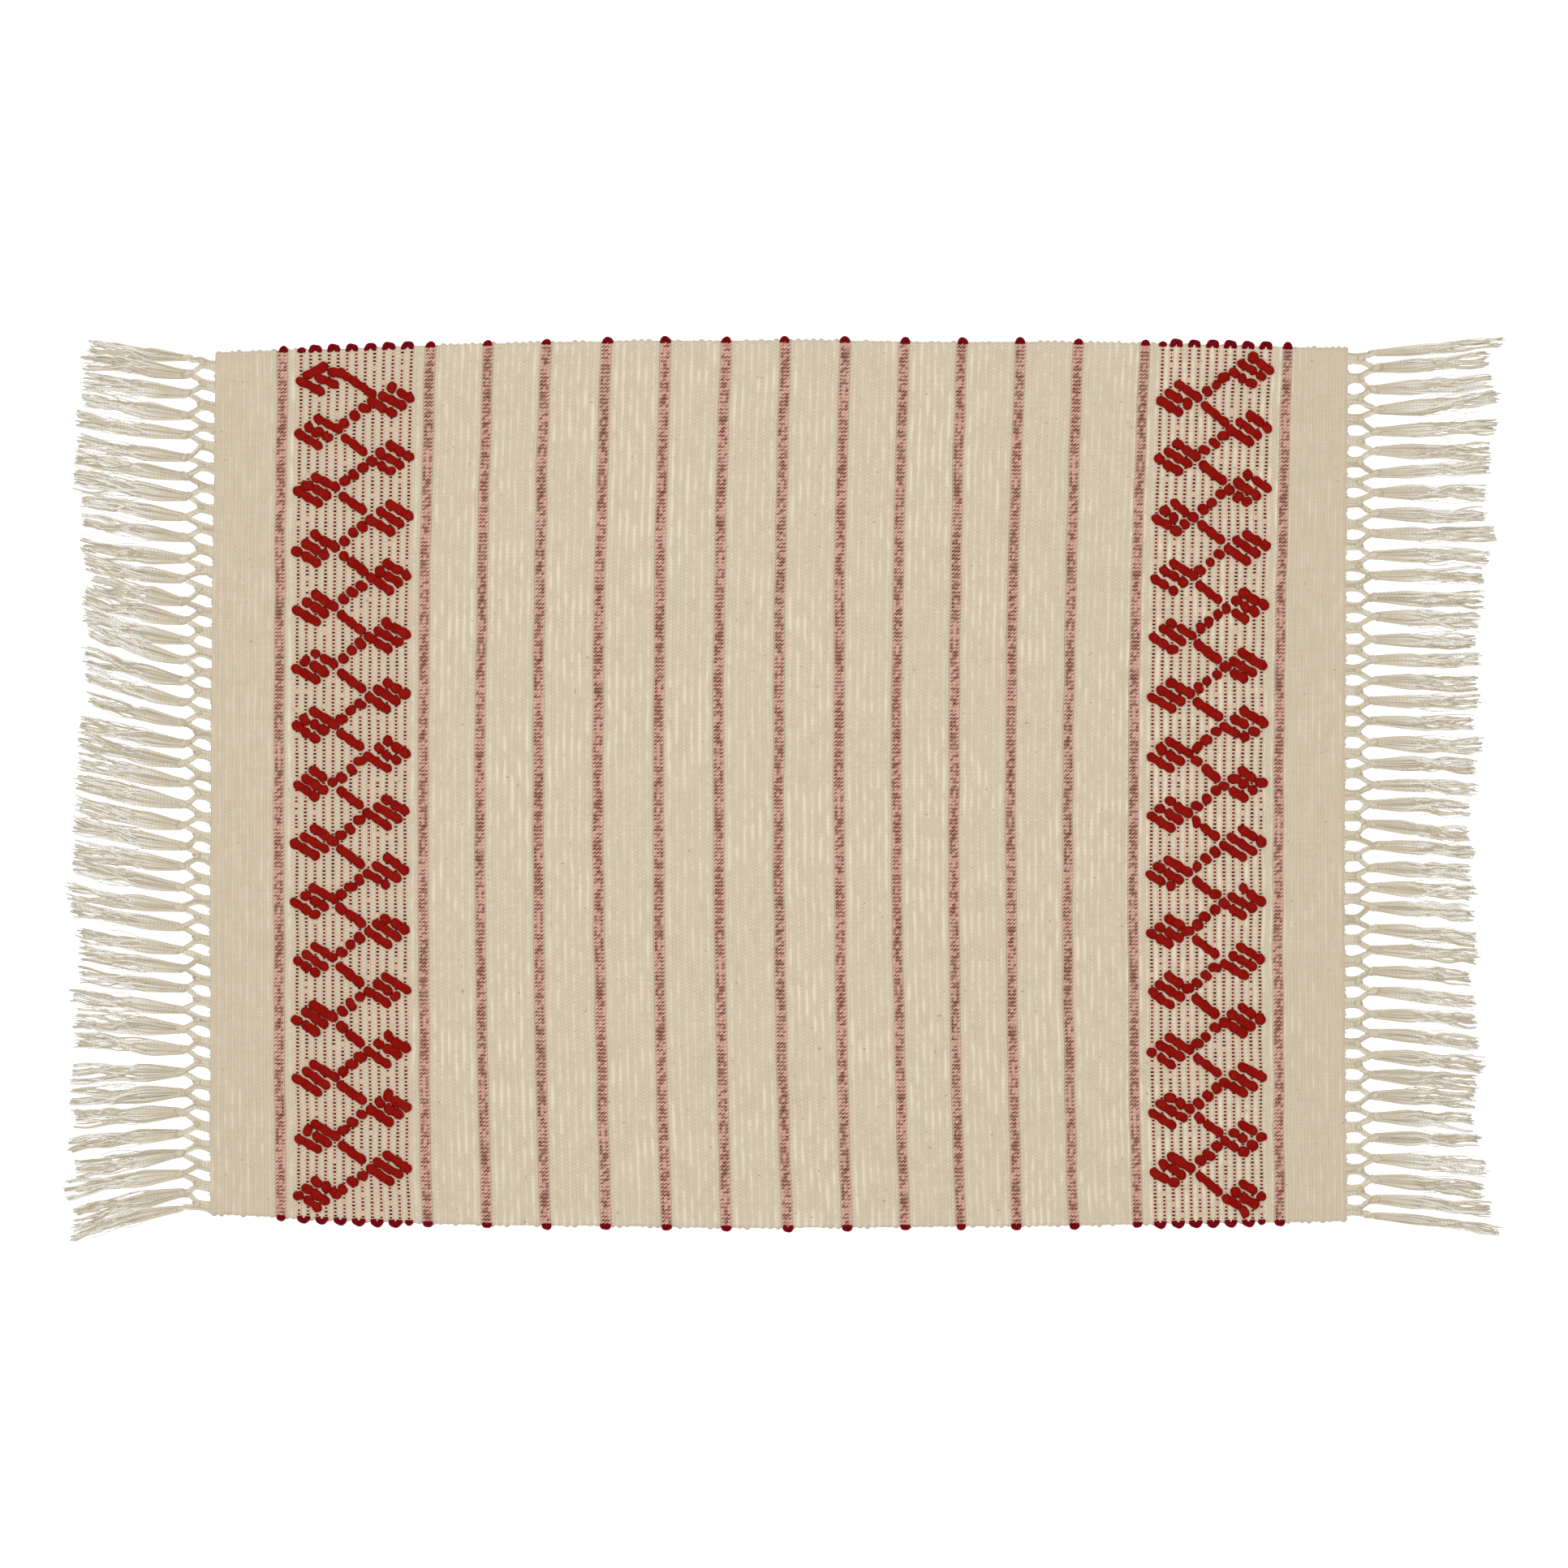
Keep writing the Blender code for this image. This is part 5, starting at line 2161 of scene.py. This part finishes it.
@dataclass(frozen=True)
class Studio:
    """A pale floor, soft light and the camera straight above."""

    camera_height: float = 2.4
    view_width: float = 1.0596
    view_shift: tuple[float, float] = (1.4 * MM, -0.5 * MM)
    sensor: float = 36.0
    floor_side: float = 14.0
    floor_tone: float = 0.93
    floor_grain: float = 0.98
    floor_glow: float = 0.4
    key_power: float = 57.0
    fill_power: float = 11.0
    world_light: float = 0.37

    def build(self) -> None:
        """Sets up the floor, the lights and the camera."""
        self._floor()
        self._light("key", (-0.3, 0.35, 3.0), 1.2, self.key_power)
        self._light("fill", (0.9, -0.7, 2.6), 1.6, self.fill_power)
        world = bpy.data.worlds.new("studio")
        world.use_nodes = True
        glow = world.node_tree.nodes["Background"]
        glow.inputs["Color"].default_value = (1.0, 1.0, 1.0, 1.0)
        glow.inputs["Strength"].default_value = self.world_light
        bpy.context.scene.world = world
        bpy.context.scene.view_settings.view_transform = "Standard"
        lens = bpy.data.cameras.new("camera")
        lens.sensor_width = self.sensor
        lens.lens = self.sensor * self.camera_height / self.view_width
        camera = bpy.data.objects.new("camera", lens)
        camera.location = (*self.view_shift, self.camera_height)
        bpy.context.scene.collection.objects.link(camera)
        bpy.context.scene.camera = camera

    def _floor(self) -> None:
        """A plain pale floor with a faint grain."""
        half = self.floor_side / 2
        mesh = bpy.data.meshes.new("floor")
        mesh.from_pydata([(-half, -half, 0), (half, -half, 0), (half, half, 0), (-half, half, 0)],
                         [], [(0, 1, 2, 3)])
        paint = bpy.data.materials.new("floor_paint")
        paint.use_nodes = True
        w = Wiring(paint.node_tree)
        shader = paint.node_tree.nodes["Principled BSDF"]
        place = w.add("ShaderNodeTexCoord").outputs["Object"]
        tone, grain = self.floor_tone, self.floor_grain
        colour = w.mix(w.noise(place, 3.0), (tone, tone, tone), (grain, grain, grain))
        w.feed(shader.inputs["Base Color"], colour)
        shader.inputs["Roughness"].default_value = 0.95
        shader.inputs["Specular IOR Level"].default_value = 0.1
        shader.inputs["Emission Color"].default_value = (1.0, 1.0, 1.0, 1.0)
        shader.inputs["Emission Strength"].default_value = self.floor_glow
        mesh.materials.append(paint)
        floor = bpy.data.objects.new("floor", mesh)
        bpy.context.scene.collection.objects.link(floor)
        floor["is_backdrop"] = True

    @staticmethod
    def _light(name: str, place: tuple[float, float, float], side: float, power: float) -> None:
        """A soft square light that looks at the rug.

        Args:
            name: Its name.
            place: Where it stands.
            side: Its side.
            power: Its power in watts.
        """
        lamp = bpy.data.lights.new(name, "AREA")
        lamp.shape = "SQUARE"
        lamp.size = side
        lamp.energy = power
        item = bpy.data.objects.new(name, lamp)
        item.location = place
        aim = -np.array(place)
        tilt = math.atan2(math.hypot(aim[0], aim[1]), -aim[2])
        item.rotation_euler = (tilt, 0.0, math.atan2(aim[1], aim[0]) - math.pi / 2)
        bpy.context.scene.collection.objects.link(item)


def main() -> None:
    """Builds the rug's looks piece by piece."""
    logging.basicConfig(level=logging.INFO, format="%(name)s: %(message)s")
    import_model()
    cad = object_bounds()
    Studio().build()
    low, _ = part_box("left_end_band")
    _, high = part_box("field_band_6")
    lie = Lie(cloth_end=-low.x, selvedge=high.y)
    loom = Loom(lie, cloth_end=-low.x, selvedge=high.y, top=high.z)
    finishes = Finishes(Effects())
    cloth = Cloth(loom, finishes)
    cloth.build()
    others = cloth.pieces[:-1]
    for end in End:
        fringe = Fringe(loom, end)
        pieces = fringe.build(finishes.fringe)
        fringe.dress(pieces)
        others += pieces
    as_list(others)
    boxes = {"cad": cad, "visual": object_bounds()}
    {key: [list(map(float, c)) for c in value] for key, value in boxes.items()}


if __name__ == "__main__":
    main()
